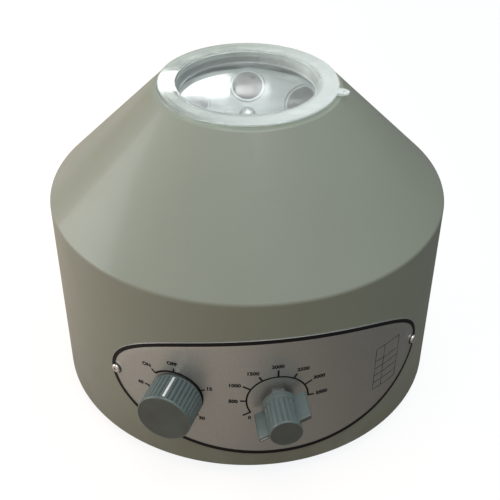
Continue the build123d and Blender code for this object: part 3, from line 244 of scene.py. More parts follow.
def oval(centre, wide, tall, count):
    """Points round a flat oval, from its half width and half height."""
    turns = [2 * pi * number / count for number in range(count)]
    return [(centre[0] + wide * cos(turn), centre[1] + tall * sin(turn)) for turn in turns]


def arc(centre, radius, start, end, steps):
    """Points along an arc, with angles clockwise from straight up."""
    turns = [start + (end - start) * number / steps for number in range(steps + 1)]
    return [(centre[0] + radius * sin(turn), centre[1] + radius * cos(turn)) for turn in turns]


# Bodies


def skin(build, rings):
    """Joins closed rings of vertices, the last one to the first; a single vertex is a tip."""
    for here, there in zip(rings, rings[1:] + rings[:1]):
        for number in range(max(len(here), len(there))):
            after = number + 1
            corners = [
                here[number % len(here)],
                here[after % len(here)],
                there[after % len(there)],
                there[number % len(there)],
            ]
            corners = list(dict.fromkeys(corners))
            if len(corners) > 2:
                build.faces.new(corners)
    return build


def lathe(points, turns, steps=8):
    """A closed body turned about +Z from a closed outline of radius, height and rounding."""
    build = bmesh.new()
    rings = []
    for radius, height in rounded(points, steps):
        flat = oval((0, 0), radius, radius, turns if radius > 1e-6 else 1)
        rings.append([build.verts.new((x, y, height)) for x, y in flat])
    return skin(build, rings)


def prism(outline, bottom, top):
    """A closed body with straight sides over a flat outline."""
    build = bmesh.new()
    low = [build.verts.new((x, y, bottom)) for x, y in outline]
    high = [build.verts.new((x, y, top)) for x, y in outline]
    build.faces.new(low[::-1])
    build.faces.new(high)
    for number in range(len(outline)):
        after = (number + 1) % len(outline)
        build.faces.new((low[number], low[after], high[after], high[number]))
    return build


def ribbon(build, inner, outer, thickness, closed):
    """Adds a thin closed strip between two flat lines of points."""
    rows = [
        [build.verts.new((x, y, z)) for x, y in line]
        for line, z in ((inner, 0), (outer, 0), (outer, thickness), (inner, thickness))
    ]
    count = len(inner)
    for number in range(count if closed else count - 1):
        after = (number + 1) % count
        for here, there in zip(rows, rows[1:] + rows[:1]):
            build.faces.new((here[number], here[after], there[after], there[number]))
    if not closed:
        build.faces.new([row[0] for row in rows])
        build.faces.new([row[-1] for row in rows[::-1]])


def bevel(build, edges, offset, segments):
    """Rounds some edges of built mesh data."""
    bmesh.ops.bevel(build, geom=edges, offset=offset, segments=segments, affect="EDGES", profile=0.5)


def joined(builds):
    """Several built bodies in one."""
    whole = bmesh.new()
    for build in builds:
        mesh = bpy.data.meshes.new("Part")
        build.to_mesh(mesh)
        build.free()
        whole.from_mesh(mesh)
        bpy.data.meshes.remove(mesh)
    return whole


# Pieces


def piece(name, build, material=None, place=None, smooth=35):
    """Turns built mesh data into an object with outward faces and soft shading."""
    bmesh.ops.recalc_face_normals(build, faces=build.faces)
    mesh = bpy.data.meshes.new(name)
    build.to_mesh(mesh)
    build.free()
    if place:
        mesh.transform(place)
    if material:
        mesh.materials.append(material)
    soften(mesh, smooth)
    made = bpy.data.objects.new(name, mesh)
    bpy.context.scene.collection.objects.link(made)
    return made


def soften(mesh, smooth):
    """Smooth shading that keeps the edges sharper than an angle."""
    mesh.polygons.foreach_set("use_smooth", [True] * len(mesh.polygons))
    mesh.set_sharp_from_angle(angle=radians(smooth))


def settle(made, smooth=35):
    """Turns the modifiers of a piece into its plain mesh."""
    evaluated = made.evaluated_get(bpy.context.evaluated_depsgraph_get())
    mesh = bpy.data.meshes.new_from_object(evaluated)
    mesh.name = made.name
    made.modifiers.clear()
    made.data = mesh
    soften(mesh, smooth)


def combine(made, tools, operation, smooth=35):
    """Cuts closed tools out of a piece, or joins them to it."""
    for tool in tools:
        step = made.modifiers.new("Cut", "BOOLEAN")
        step.operation = operation
        step.solver = "EXACT"
        step.object = tool
    settle(made, smooth)
    for tool in tools:
        bpy.data.objects.remove(tool)


def pin(radius, bottom, top, turns):
    """A round pin that cuts a hole."""
    return lathe([(0, bottom), (radius, bottom), (radius, top), (0, top)], turns)


def bore(made, distance, depth, holes, smooth=35):
    """Cuts round holes through a wall, each from its azimuth, height and radius."""
    tools = []
    for azimuth, height, radius in holes:
        place = wall_place(azimuth, distance, height)
        tools.append(piece("tool", pin(radius, -depth, depth, 48), place=place))
    combine(made, tools, "DIFFERENCE", smooth)


def fit(made, body, slot, *nodes):
    """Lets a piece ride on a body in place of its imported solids."""
    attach(made, body)
    if nodes:
        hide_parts(*nodes)


# Node trees


class Nodes:
    """Adds nodes to a tree."""

    def __init__(self, tree):
        self.tree = tree

    def node(self, kind, values=None, **settings):
        """Adds a node; its values are links or plain numbers by socket."""
        made = self.tree.nodes.new(kind)
        for key, value in settings.items():
            setattr(made, key, value)
        for key, value in (values or {}).items():
            if isinstance(value, bpy.types.NodeSocket):
                self.tree.links.new(value, made.inputs[key])
            else:
                made.inputs[key].default_value = value
        return made

    def maths(self, operation, *numbers):
        """One step of arithmetic."""
        return self.node("ShaderNodeMath", dict(enumerate(numbers)), operation=operation).outputs[0]

    def times(self, first, *others):
        """A product of links and numbers."""
        for other in others:
            first = self.maths("MULTIPLY", first, other)
        return first

    def vector(self, operation, values):
        """One step of vector arithmetic."""
        return self.node("ShaderNodeVectorMath", values, operation=operation).outputs

    def parts(self, spot):
        """The X, Y and Z of a spot."""
        return self.node("ShaderNodeSeparateXYZ", {0: spot}).outputs

    def flat(self, parts):
        """A spot's flat offset from +Z, and the length of that offset."""
        offset = self.node("ShaderNodeCombineXYZ", {"X": parts["X"], "Y": parts["Y"]}).outputs[0]
        return offset, self.vector("LENGTH", {0: offset})["Value"]

    def spread(self, factor, low, high, start=0.3, end=0.7):
        """Turns what runs from start to end into numbers from low to high."""
        values = {"Value": factor, "From Min": start, "From Max": end, "To Min": low, "To Max": high}
        return self.node("ShaderNodeMapRange", values).outputs[0]

    def mix(self, factor, first, second):
        """A colour between two others."""
        ends = [v if isinstance(v, bpy.types.NodeSocket) else (*v, 1) for v in (first, second)]
        return self.node("ShaderNodeMix", {0: factor, 6: ends[0], 7: ends[1]}, data_type="RGBA").outputs[2]


class GeometryTree(Nodes):
    """A geometry node tree whose inputs are a count, some named numbers and a material."""

    def __init__(self, name, *numbers):
        super().__init__(bpy.data.node_groups.new(name, "GeometryNodeTree"))
        self.tree.is_modifier = True
        socket = self.tree.interface.new_socket
        for side in ("INPUT", "OUTPUT"):
            socket("Geometry", in_out=side, socket_type="NodeSocketGeometry")
        socket("Count", in_out="INPUT", socket_type="NodeSocketInt")
        for number in numbers:
            socket(number, in_out="INPUT", socket_type="NodeSocketFloat")
        socket("Material", in_out="INPUT", socket_type="NodeSocketMaterial")
        self.given = self.node("NodeGroupInput").outputs

    def close(self, geometry):
        """Ends the tree with real geometry in one material."""
        real = self.node("GeometryNodeRealizeInstances", {"Geometry": geometry}).outputs[0]
        values = {"Geometry": real, "Material": self.given["Material"]}
        self.node("NodeGroupOutput", {"Geometry": self.node("GeometryNodeSetMaterial", values).outputs[0]})
        return self.tree


def copies_tree():
    """Copies of a body round +Z, at a radius, from a first angle in equal steps."""
    tree = GeometryTree("Ring Of Copies", "Radius", "First Angle", "Step Angle")
    given = tree.given
    index = tree.node("GeometryNodeInputIndex").outputs[0]
    turn = tree.maths("MULTIPLY_ADD", index, given["Step Angle"], given["First Angle"])
    across = tree.times(tree.maths("COSINE", turn), given["Radius"])
    along = tree.times(tree.maths("SINE", turn), given["Radius"])
    spot = tree.node("ShaderNodeCombineXYZ", {"X": across, "Y": along}).outputs[0]
    points = tree.node("GeometryNodePoints", {"Count": given["Count"], "Position": spot}).outputs[0]
    turned = tree.node("ShaderNodeCombineXYZ", {"Z": turn}).outputs[0]
    turned = tree.node("FunctionNodeEulerToRotation", {"Euler": turned}).outputs[0]
    values = {"Points": points, "Instance": given["Geometry"], "Rotation": turned}
    return tree.close(tree.node("GeometryNodeInstanceOnPoints", values).outputs[0])


def flutes_tree():
    """Even flutes down the side of a turned body, between two heights."""
    tree = GeometryTree("Flutes", "Depth", "Narrowness", "Inner Radius", "From", "To", "Run Out")
    given = tree.given
    parts = tree.parts(tree.node("GeometryNodeInputPosition").outputs[0])
    flat, radius = tree.flat(parts)
    turn = tree.maths("ARCTAN2", parts["Y"], parts["X"])
    wave = tree.maths("COSINE", tree.times(turn, tree.times(given["Count"], 0.5)))
    groove = tree.maths("POWER", tree.maths("ABSOLUTE", wave), given["Narrowness"])
    rise = tree.maths("DIVIDE", tree.maths("SUBTRACT", parts["Z"], given["From"]), given["Run Out"])
    fall = tree.maths("DIVIDE", tree.maths("SUBTRACT", given["To"], parts["Z"]), given["Run Out"])
    inside = tree.maths("MINIMUM", tree.maths("MINIMUM", rise, fall), 1.0)
    inside = tree.maths("MAXIMUM", inside, 0.0)
    side = tree.maths("GREATER_THAN", radius, given["Inner Radius"])
    depth = tree.times(groove, inside, given["Depth"], side, -1.0)
    offset = tree.vector("SCALE", {0: tree.vector("NORMALIZE", {0: flat})[0], "Scale": depth})[0]
    values = {"Geometry": given["Geometry"], "Offset": offset}
    return tree.close(tree.node("GeometryNodeSetPosition", values).outputs[0])


trees = {}


def run_tree(make, made, values):
    """Runs a geometry node tree on a piece by the names of its inputs, and keeps the plain mesh."""
    if make not in trees:
        trees[make] = make()
    step = made.modifiers.new(trees[make].name, "NODES")
    step.node_group = trees[make]
    values["Material"] = made.data.materials[0]
    for item in trees[make].interface.items_tree:
        if item.in_out == "INPUT" and item.name in values:
            step[item.identifier] = values[item.name]
    settle(made)


def repeat(made, count, radius, first, step):
    """Repeats a piece round +Z."""
    values = {"Count": count, "Radius": radius, "First Angle": first, "Step Angle": step}
    run_tree(copies_tree, made, values)


def flute(made, count, depth, inner, start, end, run):
    """Cuts narrow flutes down the side of a turned piece."""
    values = {"Count": count, "Depth": depth, "Narrowness": 6.0, "Inner Radius": inner}
    run_tree(flutes_tree, made, {**values, "From": start, "To": end, "Run Out": run})


# Materials


class Finish(Nodes):
    """A material whose even values sit on the shader and whose patterns are node chains."""

    def __init__(self, name, shade, roughness, metallic=0.0, **sockets):
        self.material = bpy.data.materials.new(name)
        self.material.use_nodes = True
        super().__init__(self.material.node_tree)
        self.shader = self.tree.nodes["Principled BSDF"]
        self.shade = tuple(shade)
        self.shader.inputs["Base Color"].default_value = (*self.shade, 1)
        self.shader.inputs["Roughness"].default_value = roughness
        self.shader.inputs["Metallic"].default_value = metallic
        for socket, value in sockets.items():
            self.shader.inputs[socket.replace("_", " ")].default_value = value
        self.coordinates = self.node("ShaderNodeTexCoord").outputs["Object"]

    def feed(self, socket, link):
        """Links a pattern to a socket of the shader."""
        self.tree.links.new(link, self.shader.inputs[socket])
        return link

    def grain(self, scale, detail, stretch=(1, 1, 1)):
        """Cloudy noise, which stretch can draw out along an axis."""
        spot = self.node("ShaderNodeMapping", {"Vector": self.coordinates, "Scale": stretch}).outputs[0]
        return self.node("ShaderNodeTexNoise", {"Vector": spot, "Scale": scale, "Detail": detail}).outputs[0]

    def turning(self, scale, detail):
        """Noise that only changes with the distance from +Z, as a lathe's marks do."""
        radius = self.flat(self.parts(self.coordinates))[1]
        values = {"W": radius, "Scale": scale, "Detail": detail}
        return self.node("ShaderNodeTexNoise", values, noise_dimensions="1D").outputs[0]

    def tone(self, factor, dark, light):
        """Lets the colour wander between a darker and a lighter tone of itself."""
        low, high = [tuple(min(part * share, 1) for part in self.shade) for share in (dark, light)]
        return self.feed("Base Color", self.mix(self.spread(factor, 0, 1), low, high))

    def gloss(self, factor, low, high, start=0.3, end=0.7):
        """Lets the roughness wander."""
        self.feed("Roughness", self.spread(factor, low, high, start, end))

    def relief(self, factor, depth, strength=1.0):
        """Raises the surface by a pattern, on top of what is already there."""
        values = {"Height": factor, "Distance": depth, "Strength": strength}
        below = self.shader.inputs["Normal"].links
        if below:
            values["Normal"] = below[0].from_socket
        self.feed("Normal", self.node("ShaderNodeBump", values).outputs[0])


def painted_steel(name, shade):
    """Sprayed enamel with a fine orange peel, and dust near the bench."""
    bottom, reach, dust = bpy.context.scene.centrifuge_housing.bottom, 0.03, (0.20, 0.18, 0.14)
    made = Finish(name, shade, 0.38, Coat_Weight=0.25, Coat_Roughness=0.12)
    base = made.tone(made.grain(9, 4), 0.96, 1.04)
    low = made.spread(made.parts(made.coordinates)["Z"], 0.5, 0, bottom, bottom + reach)
    share = made.times(low, made.spread(made.grain(60, 5), 0, 1))
    made.feed("Base Color", made.mix(share, base, dust))
    made.gloss(made.grain(30, 4), 0.33, 0.44)
    made.relief(made.grain(700, 2), 0.00006)
    made.relief(made.grain(90, 2), 0.0001, 0.5)
    return made.material


def clear_plastic(name, shade):
    """Clear moulded plastic, milkier in the pan's wall and on the flange's front right; on the flange the
    milk is haze whose strength by side is painted light.
    """
    lid, lightest_side = bpy.context.scene.centrifuge_lid, (0.85, -0.52, 0)
    reach, rim = lid.flange_radius, lid.pan_radius
    made = Finish(name, shade, 0.05, IOR=1.49, Specular_IOR_Level=0.6)
    made.gloss(made.grain(45, 5), 0.03, 0.1, 0.4, 0.75)
    made.relief(made.grain(60, 2), 0.00002, 0.4)
    parts = made.parts(made.coordinates)
    flat, radius = made.flat(parts)
    # The flange's milk grows towards the front right and fades out at the back: partly haze, partly painted
    # light that lightens the front right side.
    side = made.vector("DOT_PRODUCT", {0: flat, 1: lightest_side})["Value"]
    milk_and_painted_light = made.spread(side, 0, 0.48, -0.5 * reach, reach)
    flange = made.spread(radius, 0, 1, rim - 0.003, rim + 0.003)
    outside = made.spread(radius, 0, 0.16, rim - 0.0018, rim - 0.0011)
    below = made.spread(parts["Z"], 1, 0, lid_top - 0.0025, lid_top - 0.0015)
    smear = made.spread(made.grain(35, 5, (1, 2.5, 1)), 0.03, 0.14, 0.45, 0.75)
    wall = made.maths("MULTIPLY_ADD", outside, below, smear)
    milk = made.maths("MULTIPLY_ADD", milk_and_painted_light, flange, wall)
    made.feed("Transmission Weight", made.maths("SUBTRACT", 1.0, milk))
    shade = made.node("ShaderNodeLightPath").outputs["Is Shadow Ray"]
    made.feed("Alpha", made.maths("MULTIPLY_ADD", shade, -0.9, 1.0))
    return made.material


def noisy(name, shade, roughness, tone, gloss, relief, metallic=0.0, **sockets):
    """A finish whose tone, gloss and relief each follow a grain, given before its range or depth."""
    made = Finish(name, shade, roughness, metallic, **sockets)
    for shape, row in ((made.tone, tone), (made.gloss, gloss), (made.relief, relief)):
        if row:
            shape(made.grain(*row[0]), *row[1:])
    return made.material


def printed_ink(name, shade):
    """Screen-printed ink, a little glossier at its thick spots."""
    gloss, relief = ((900, 2), 0.52, 0.7), ((2500, 2), 0.00001, 0.5)
    return noisy(name, shade, 0.6, None, gloss, relief, Specular_IOR_Level=0.2)


def knob_plastic(name, shade):
    """Moulded plastic, polished by fingers on its high spots."""
    tone, gloss, relief = ((110, 3), 0.92, 1.1), ((70, 4), 0.3, 0.46), ((1600, 2), 0.00002, 0.6)
    return noisy(name, shade, 0.36, tone, gloss, relief, Coat_Weight=0.5, Coat_Roughness=0.14)


def rubber(name, shade):
    """Matt moulded rubber with a slightly dusty skin."""
    return noisy(name, shade, 0.72, ((80, 4), 0.8, 1.6), ((140, 3), 0.62, 0.82), ((1400, 2), 0.00003))


def plain_coat(name, shade, rough):
    """A coat or moulding with a fine grain."""
    gloss = ((150, 3), rough * 0.88, min(rough * 1.15, 1))
    return noisy(name, shade, rough, ((75, 4), 0.88, 1.12), gloss, ((1200, 2), 0.00002))


def bare_metal(name, shade, low, high, turned=False, metallic=1.0):
    """Bare metal, either turned on a lathe or rolled, with small handling marks."""
    made = Finish(name, shade, low, metallic)
    made.tone(made.grain(50, 4), 0.88, 1.06)
    made.gloss(made.grain(90, 4), low, high)
    made.relief(made.turning(1500, 4) if turned else made.grain(500, 4, (1, 1, 0.05)), 0.00001)
    return made.material


# What makes each finish, its name, its colour or the setting that holds it, and its own numbers.
recipes = {
    "paint": (painted_steel, "Housing Enamel", "centrifuge_housing.paint"),
    "clear": (clear_plastic, "Clear Plastic", "centrifuge_lid.tint"),
    "ink": (printed_ink, "Panel Ink", "centrifuge_panel.ink"),
    "knob": (knob_plastic, "Knob Plastic", "centrifuge_timer.plastic"),
    "silver": (
        noisy, "Panel Silver", "centrifuge_panel.silver", 0.42,
        ((1900, 2), 0.9, 1.12), ((120, 3), 0.38, 0.5), ((1500, 2), 0.00002, 0.6), 0.85,
    ),
    # Dark plastic for the inner parts; on the knob faces and on the pointer bar's other wing it is painted
    # shade.
    "dark": (
        noisy, "Dark Plastic", (0.096, 0.116, 0.111), 0.42,
        ((60, 4), 0.85, 1.2), ((200, 3), 0.36, 0.52), ((1500, 2), 0.00002, 0.6),
    ),
    "white": (
        noisy, "White Line", (0.85, 0.86, 0.85), 0.45,
        ((500, 3), 0.92, 1.03), None, ((1400, 2), 0.00002),
    ),
    "core": (
        noisy, "Core Steel", (0.3, 0.29, 0.28), 0.42,
        ((120, 4), 0.8, 1.1), None, ((400, 1, (0.02, 0.02, 4)), 0.00008), 1.0,
    ),
    "copper": (
        noisy, "Copper Wire", (0.62, 0.25, 0.1), 0.3,
        ((200, 3), 0.75, 1.15), None, ((900, 1, (1, 1, 4)), 0.0002), 0.9,
    ),
    "rubber": (rubber, "Black Rubber", (0.02, 0.02, 0.021)),
    "trim": (rubber, "Grey Rubber", (0.36, 0.37, 0.34)),
    "zinc": (bare_metal, "Zinc Steel", (0.62, 0.62, 0.6), 0.25, 0.4),
    "bright": (bare_metal, "Bright Screws", (0.82, 0.81, 0.78), 0.16, 0.28),
    "cast": (bare_metal, "Cast Aluminium", (0.62, 0.63, 0.63), 0.42, 0.58, True, 0.5),
    "sleeve": (bare_metal, "Sleeve Aluminium", (0.66, 0.68, 0.68), 0.26, 0.4, False, 0.4),
    "bowl": (bare_metal, "Bowl Steel", (0.5, 0.5, 0.49), 0.28, 0.4, True),
    "bearing": (bare_metal, "Bearing Steel", (0.7, 0.7, 0.7), 0.18, 0.3, True),
    "brass": (bare_metal, "Brass", (0.72, 0.5, 0.2), 0.25, 0.4),
    "carbon": (plain_coat, "Carbon", (0.03, 0.03, 0.032), 0.6),
    "can": (plain_coat, "Motor Enamel", (0.09, 0.095, 0.1), 0.45),
    "board": (plain_coat, "Board Lacquer", (0.03, 0.14, 0.06), 0.35),
    "capacitor": (plain_coat, "Capacitor Film", (0.55, 0.42, 0.07), 0.4),
    "terminal": (plain_coat, "Terminal Plastic", (0.05, 0.16, 0.12), 0.45),
    "glass": (plain_coat, "Fuse Glass", (0.7, 0.72, 0.7), 0.12),
}
finishes = {}


def finish(key):
    """One shared material by name, made when it is first asked for."""
    if key not in finishes:
        make, name, shade, *values = recipes[key]
        if isinstance(shade, str):
            shade = bpy.context.scene.path_resolve(shade)
        finishes[key] = make(name, shade, *values)
    return finishes[key]


# Operators


class MakeHousing(bpy.types.Operator):
    """Makes the painted sheet-metal shell and the rubber trim round its mouth"""

    bl_idname = "centrifuge.housing"
    bl_label = "Housing"

    def execute(self, context):
        housing, timer = context.scene.centrifuge_housing, context.scene.centrifuge_timer
        speed = context.scene.centrifuge_speed
        outer = [
            (housing.radius - housing.base_lip, housing.bottom, 0),
            (housing.radius, housing.bottom, 0.001),
            (housing.radius, housing.shoulder, 0.0035),
            (housing.neck_radius, housing.top, 0.002),
            (housing.mouth_radius, housing.top, 0),
        ]
        shell = piece("housing_shell", lathe(sheet_outline(outer, housing.sheet), 288), finish("paint"))
        speed_hole, gland_hole = 0.0048, 0.0065
        holes = (
            (timer.azimuth, timer.level, timer.hole),
            (0, speed.level, speed_hole),
            (housing.gland_azimuth, housing.bottom + housing.gland_height, gland_hole),
        )
        bore(shell, housing.radius, 0.01, holes)
        fit(shell, "housing", "housing_paint", "outer_shell")

        inner, edge, under = trim_high.x, housing.mouth_radius, housing.top - housing.sheet
        lip = edge - 0.0012
        outline = [
            (edge, housing.top, 0.0002),
            (inner, housing.top, 0.0003),
            (inner, trim_high.z, 0.0005),
            (lip, trim_high.z, 0.0006),
            (lip, trim_low.z, 0.0006),
            (inner, trim_low.z, 0.0005),
            (inner, under, 0.0003),
            (edge, under, 0.0002),
        ]
        trim = piece("mouth_trim", lathe(outline, 192, 4), finish("trim"))
        fit(trim, "housing", "grey_rubber", "mouth_gasket")
        return {"FINISHED"}


class MakeLid(bpy.types.Operator):
    """Makes the clear lid with its sunk pan and the small ear"""

    bl_idname = "centrifuge.lid"
    bl_label = "Lid"

    def execute(self, context):
        lid = context.scene.centrifuge_lid
        bottom, top, floor = lid_top - lid.flange, lid_top, lid_top - lid.pan_depth
        pan, outer_pan = lid.pan_radius, lid.pan_radius + lid.wall
        # A plain point beside each rounding keeps the flat face next to it flat in its mirror images.
        outline = [
            (0, floor - lid.wall),
            (outer_pan - lid.draft - 0.0018, floor - lid.wall),
            (outer_pan - lid.draft, floor - lid.wall, 0.0014),
            (outer_pan, bottom, 0.0004),
            (lid.flange_radius, bottom, 0.0005),
            (lid.flange_radius, top, 0.0009),
            (lid.flange_radius - 0.0012, top),
            (pan + 0.0011, top),
            (pan, top, 0.0008),
            (pan - lid.draft, floor, 0.0014),
            (pan - lid.draft - 0.0018, floor),
            (0, floor),
        ]
        made = piece("clear_lid", lathe(outline, 192, 6), finish("clear"))
        spot = outwards(lid.ear_azimuth) * lid.flange_radius + Vector((0, 0, bottom))
        place = Matrix.Translation(spot) @ Matrix.Rotation(lid.ear_azimuth - pi / 2, 4, "Z")
        build = prism(slot_outline(lid.ear_reach + lid.ear_radius, lid.ear_radius, 16), 0, lid.ear)
        level = [edge for edge in build.edges if abs(edge.verts[0].co.z - edge.verts[1].co.z) < 1e-6]
        bevel(build, level, 0.0004, 3)
        ear = piece("ear", build, finish("clear"), place)
        build = pin(0.0008, -0.001, 0.004, 24)
        hole = piece("hole", build, place=place @ Matrix.Translation((lid.ear_reach, 0, 0)))
        combine(ear, [hole], "DIFFERENCE")
        combine(made, [ear], "UNION", 30)
        fit(made, "lid", "clear_lid", "lid")
        return {"FINISHED"}


def oval_plate(half_length, half_height, thickness, rings=10, around=256):
    """A flat oval plate with enough faces to bend, its front at height zero."""
    build = bmesh.new()
    edge = 0.00015
    inside = [number / rings for number in range(1, rings)]
    rows = [(size, 0, 0) for size in inside]
    rows += [(1, edge, 0), (1, edge * 0.3, -edge * 0.3), (1, 0, -edge), (1, 0, -thickness)]
    rows += [(size, 0, -thickness) for size in inside[::-1]]
    loops = [[build.verts.new((0, 0, 0))]]
    for size, less, height in rows:
        flat = oval((0, 0), half_length * size - less, half_height * size - less, around)
        loops.append([build.verts.new((x, y, height)) for x, y in flat])
    loops.append([build.verts.new((0, 0, -thickness))])
    return skin(build, loops)


def pan_screw(thread, reach):
    """A pan-head screw along -Z with a cross recess, the underside of its head at the origin."""
    head, rise = thread * 2, thread * 1.3
    outline = [
        (0, -reach),
        (thread * 0.8, -reach),
        (thread, -reach + thread * 0.2),
        (thread, 0),
        (head, 0, 0.0001),
        (head, rise, rise * 0.6),
        (0, rise),
    ]
    body = piece("screw", lathe(outline, 48, 6))
    long, narrow = head * 0.55, thread * 0.24
    arms = []
    for turn in (0, pi / 2):
        arm = prism(oblong(-long, long, -narrow, narrow), rise * 0.4, rise * 1.2)
        for vertex in arm.verts:
            if vertex.co.z < rise:
                vertex.co.x *= 0.7
        arms.append(piece("arm", arm, place=Matrix.Rotation(turn, 4, "Z")))
    combine(body, arms, "DIFFERENCE")
    build = bmesh.new()
    build.from_mesh(body.data)
    bpy.data.objects.remove(body)
    return build


class MakePanel(bpy.types.Operator):
    """Makes the curved silver plate and its two cross-head screws"""

    bl_idname = "centrifuge.panel"
    bl_label = "Control Panel"

    def execute(self, context):
        panel, timer = context.scene.centrifuge_panel, context.scene.centrifuge_timer
        speed = context.scene.centrifuge_speed
        build = oval_plate(panel.half_arc, panel.half_height, panel.sheet)
        bmesh.ops.translate(build, verts=build.verts, vec=(0, panel.height, 0))
        on_panel(build.verts)
        plate = piece("panel_plate", build, finish("silver"), smooth=50)
        speed_hole = 0.0049
        holes = ((timer.azimuth, timer.level, timer.hole), (0, speed.level, speed_hole))
        bore(plate, plate_radius, 0.004, holes, 50)
        fit(plate, "housing", "panel_silver", "control_panel")

        turn = panel.screw_arc / plate_radius
        screw = piece("panel_screws", pan_screw(0.0015, 0.0038), finish("bright"))
        screw.data.transform(Matrix.Translation((0, 0, panel.height)) @ Matrix.Rotation(pi / 2, 4, "Y"))
        repeat(screw, 2, plate_radius, -pi / 2 - turn, turn * 2)
        fit(screw, "housing", "zinc_steel", "panel_screws")
        return {"FINISHED"}


class PrintPanel(bpy.types.Operator):
    """Prints the border, the scales with their numbers and the ruled table on the plate"""

    bl_idname = "centrifuge.print"
    bl_label = "Panel Print"

    def execute(self, context):
        panel = context.scene.centrifuge_panel
        timer_ring = context.scene.centrifuge_timer.scale_radius
        speed_ring = context.scene.centrifuge_speed.scale_radius
        timer_centre, speed_centre = (-0.0637, 0.0663), (-0.0004, 0.0674)
        black = finish("ink")
        thick, sunk = 0.00005, -0.00002
        lines = bmesh.new()

        middle = (0, panel.height)
        wide, tall = panel.half_arc - 0.0003, panel.half_height - 0.0002
        loops = [oval(middle, wide - less, tall - less, 256) for less in (panel.border, 0)]
        ribbon(lines, *loops, thick, True)
        for side in (-1, 1):
            centre = (side * panel.screw_arc, panel.height)
            ribbon(lines, *[oval(centre, radius, radius, 64) for radius in (0.0033, 0.0039)], thick, True)
        for centre, radius, half, start, end in (
            (timer_centre, timer_ring, 0.0007, -45, 270),
            (speed_centre, speed_ring, 0.00055, -120, 90),
        ):
            start, end = radians(start), radians(end)
            arcs = [arc(centre, r, start, end, 160) for r in (radius - half, radius + half)]
            ribbon(lines, *arcs, thick, False)

        left, right, low, high = 0.0670, 0.0881, 0.0500, 0.0845
        half = 0.000125
        span = [left + (right - left) * number / 8 for number in range(9)]
        for level in (low, 0.0560, 0.0620, 0.0680, 0.0740, high):
            rows = [[(across, level + side) for across in span] for side in (-half, half)]
            ribbon(lines, *rows, thick, False)
        for across in (left, 0.0742, right):
            rows = [[(across + side, level) for level in (low, high)] for side in (-half, half)]
            ribbon(lines, *rows, thick, False)
        on_panel(lines.verts, sunk)
        fit(piece("panel_lines", lines, black, smooth=50), "housing", "panel_silver")

        for name, centre, start, step, count, inner, outer, half in (
            ("timer_ticks", timer_centre, 0, 67.5, 5, timer_ring, 0.0208, 0.0005),
            ("timer_on_tick", timer_centre, -45, 45, 1, timer_ring, 0.0212, 0.0005),
            ("speed_long_ticks", speed_centre, -120, 60, 4, speed_ring, 0.0243, 0.0006),
            ("speed_short_ticks", speed_centre, -90, 60, 4, speed_ring, 0.0228, 0.0006),
        ):
            ticks = piece(name, prism(oblong(inner, outer, -half, half), 0, thick), black)
            repeat(ticks, count, 0, pi / 2 - radians(start), -radians(step))
            ticks.data.transform(Matrix.Translation((*centre, 0)))
            on_panel(ticks.data.vertices, sunk)
            ticks.data.update()
            fit(ticks, "housing", "panel_silver")

        marks = [
            ("0", speed_centre, -130, 0.0222),
            ("500", speed_centre, -91.5, 0.0270),
            ("1000", speed_centre, -64.2, 0.0289),
            ("1500", speed_centre, -34, 0.0271),
            ("2000", speed_centre, -0.6, 0.0270),
            ("2500", speed_centre, 34, 0.0272),
            ("3000", speed_centre, 62, 0.0290),
            ("3500", speed_centre, 90, 0.0277),
            ("ON", timer_centre, -47, 0.0252),
            ("OFF", timer_centre, -2, 0.0241),
        ]
        marks += [(str(15 * number), timer_centre, 67.5 * number, 0.0238) for number in range(1, 5)]
        numbers = joined([lettering(*mark, thick) for mark in marks])
        on_panel(numbers.verts, sunk)
        fit(piece("dial_numbers", numbers, black, smooth=30), "housing", "panel_silver")
        return {"FINISHED"}


def lettering(text, centre, degrees, reach, thick):
    """Upright plain lettering beside a scale, as a thin body."""
    stretch, turn = 1.06, radians(degrees)
    curve = bpy.data.curves.new("Lettering", "FONT")
    curve.body = text
    curve.size = 0.0036
    curve.align_x, curve.align_y = "CENTER", "CENTER"
    curve.extrude = thick / 2
    curve.resolution_u = 4
    curve.offset = 0.00017
    holder = bpy.data.objects.new("Lettering", curve)
    bpy.context.scene.collection.objects.link(holder)
    mesh = bpy.data.meshes.new_from_object(holder.evaluated_get(bpy.context.evaluated_depsgraph_get()))
    bpy.data.objects.remove(holder)
    bpy.data.curves.remove(curve)
    build = bmesh.new()
    build.from_mesh(mesh)
    bpy.data.meshes.remove(mesh)
    bmesh.ops.remove_doubles(build, verts=build.verts, dist=1e-7)
    across, up = centre[0] + reach * sin(turn), centre[1] + reach * cos(turn)
    for vertex in build.verts:
        x, y, z = vertex.co
        vertex.co = (x * stretch + across, y + up, z + thick / 2)
    return build


def knob_shaded_face(name, radius, bottom, top, place, body):
    """Adds a darker disc of the knob's plastic in the front of a knob: painted shade for the front face,
    which faces away from the light from above.
    """
    disc = lathe([(0, bottom), (radius, bottom), (radius, top, 0.0001), (0, top)], 96)
    fit(piece(name, disc, finish("dark"), place), body, "dark_plastic")


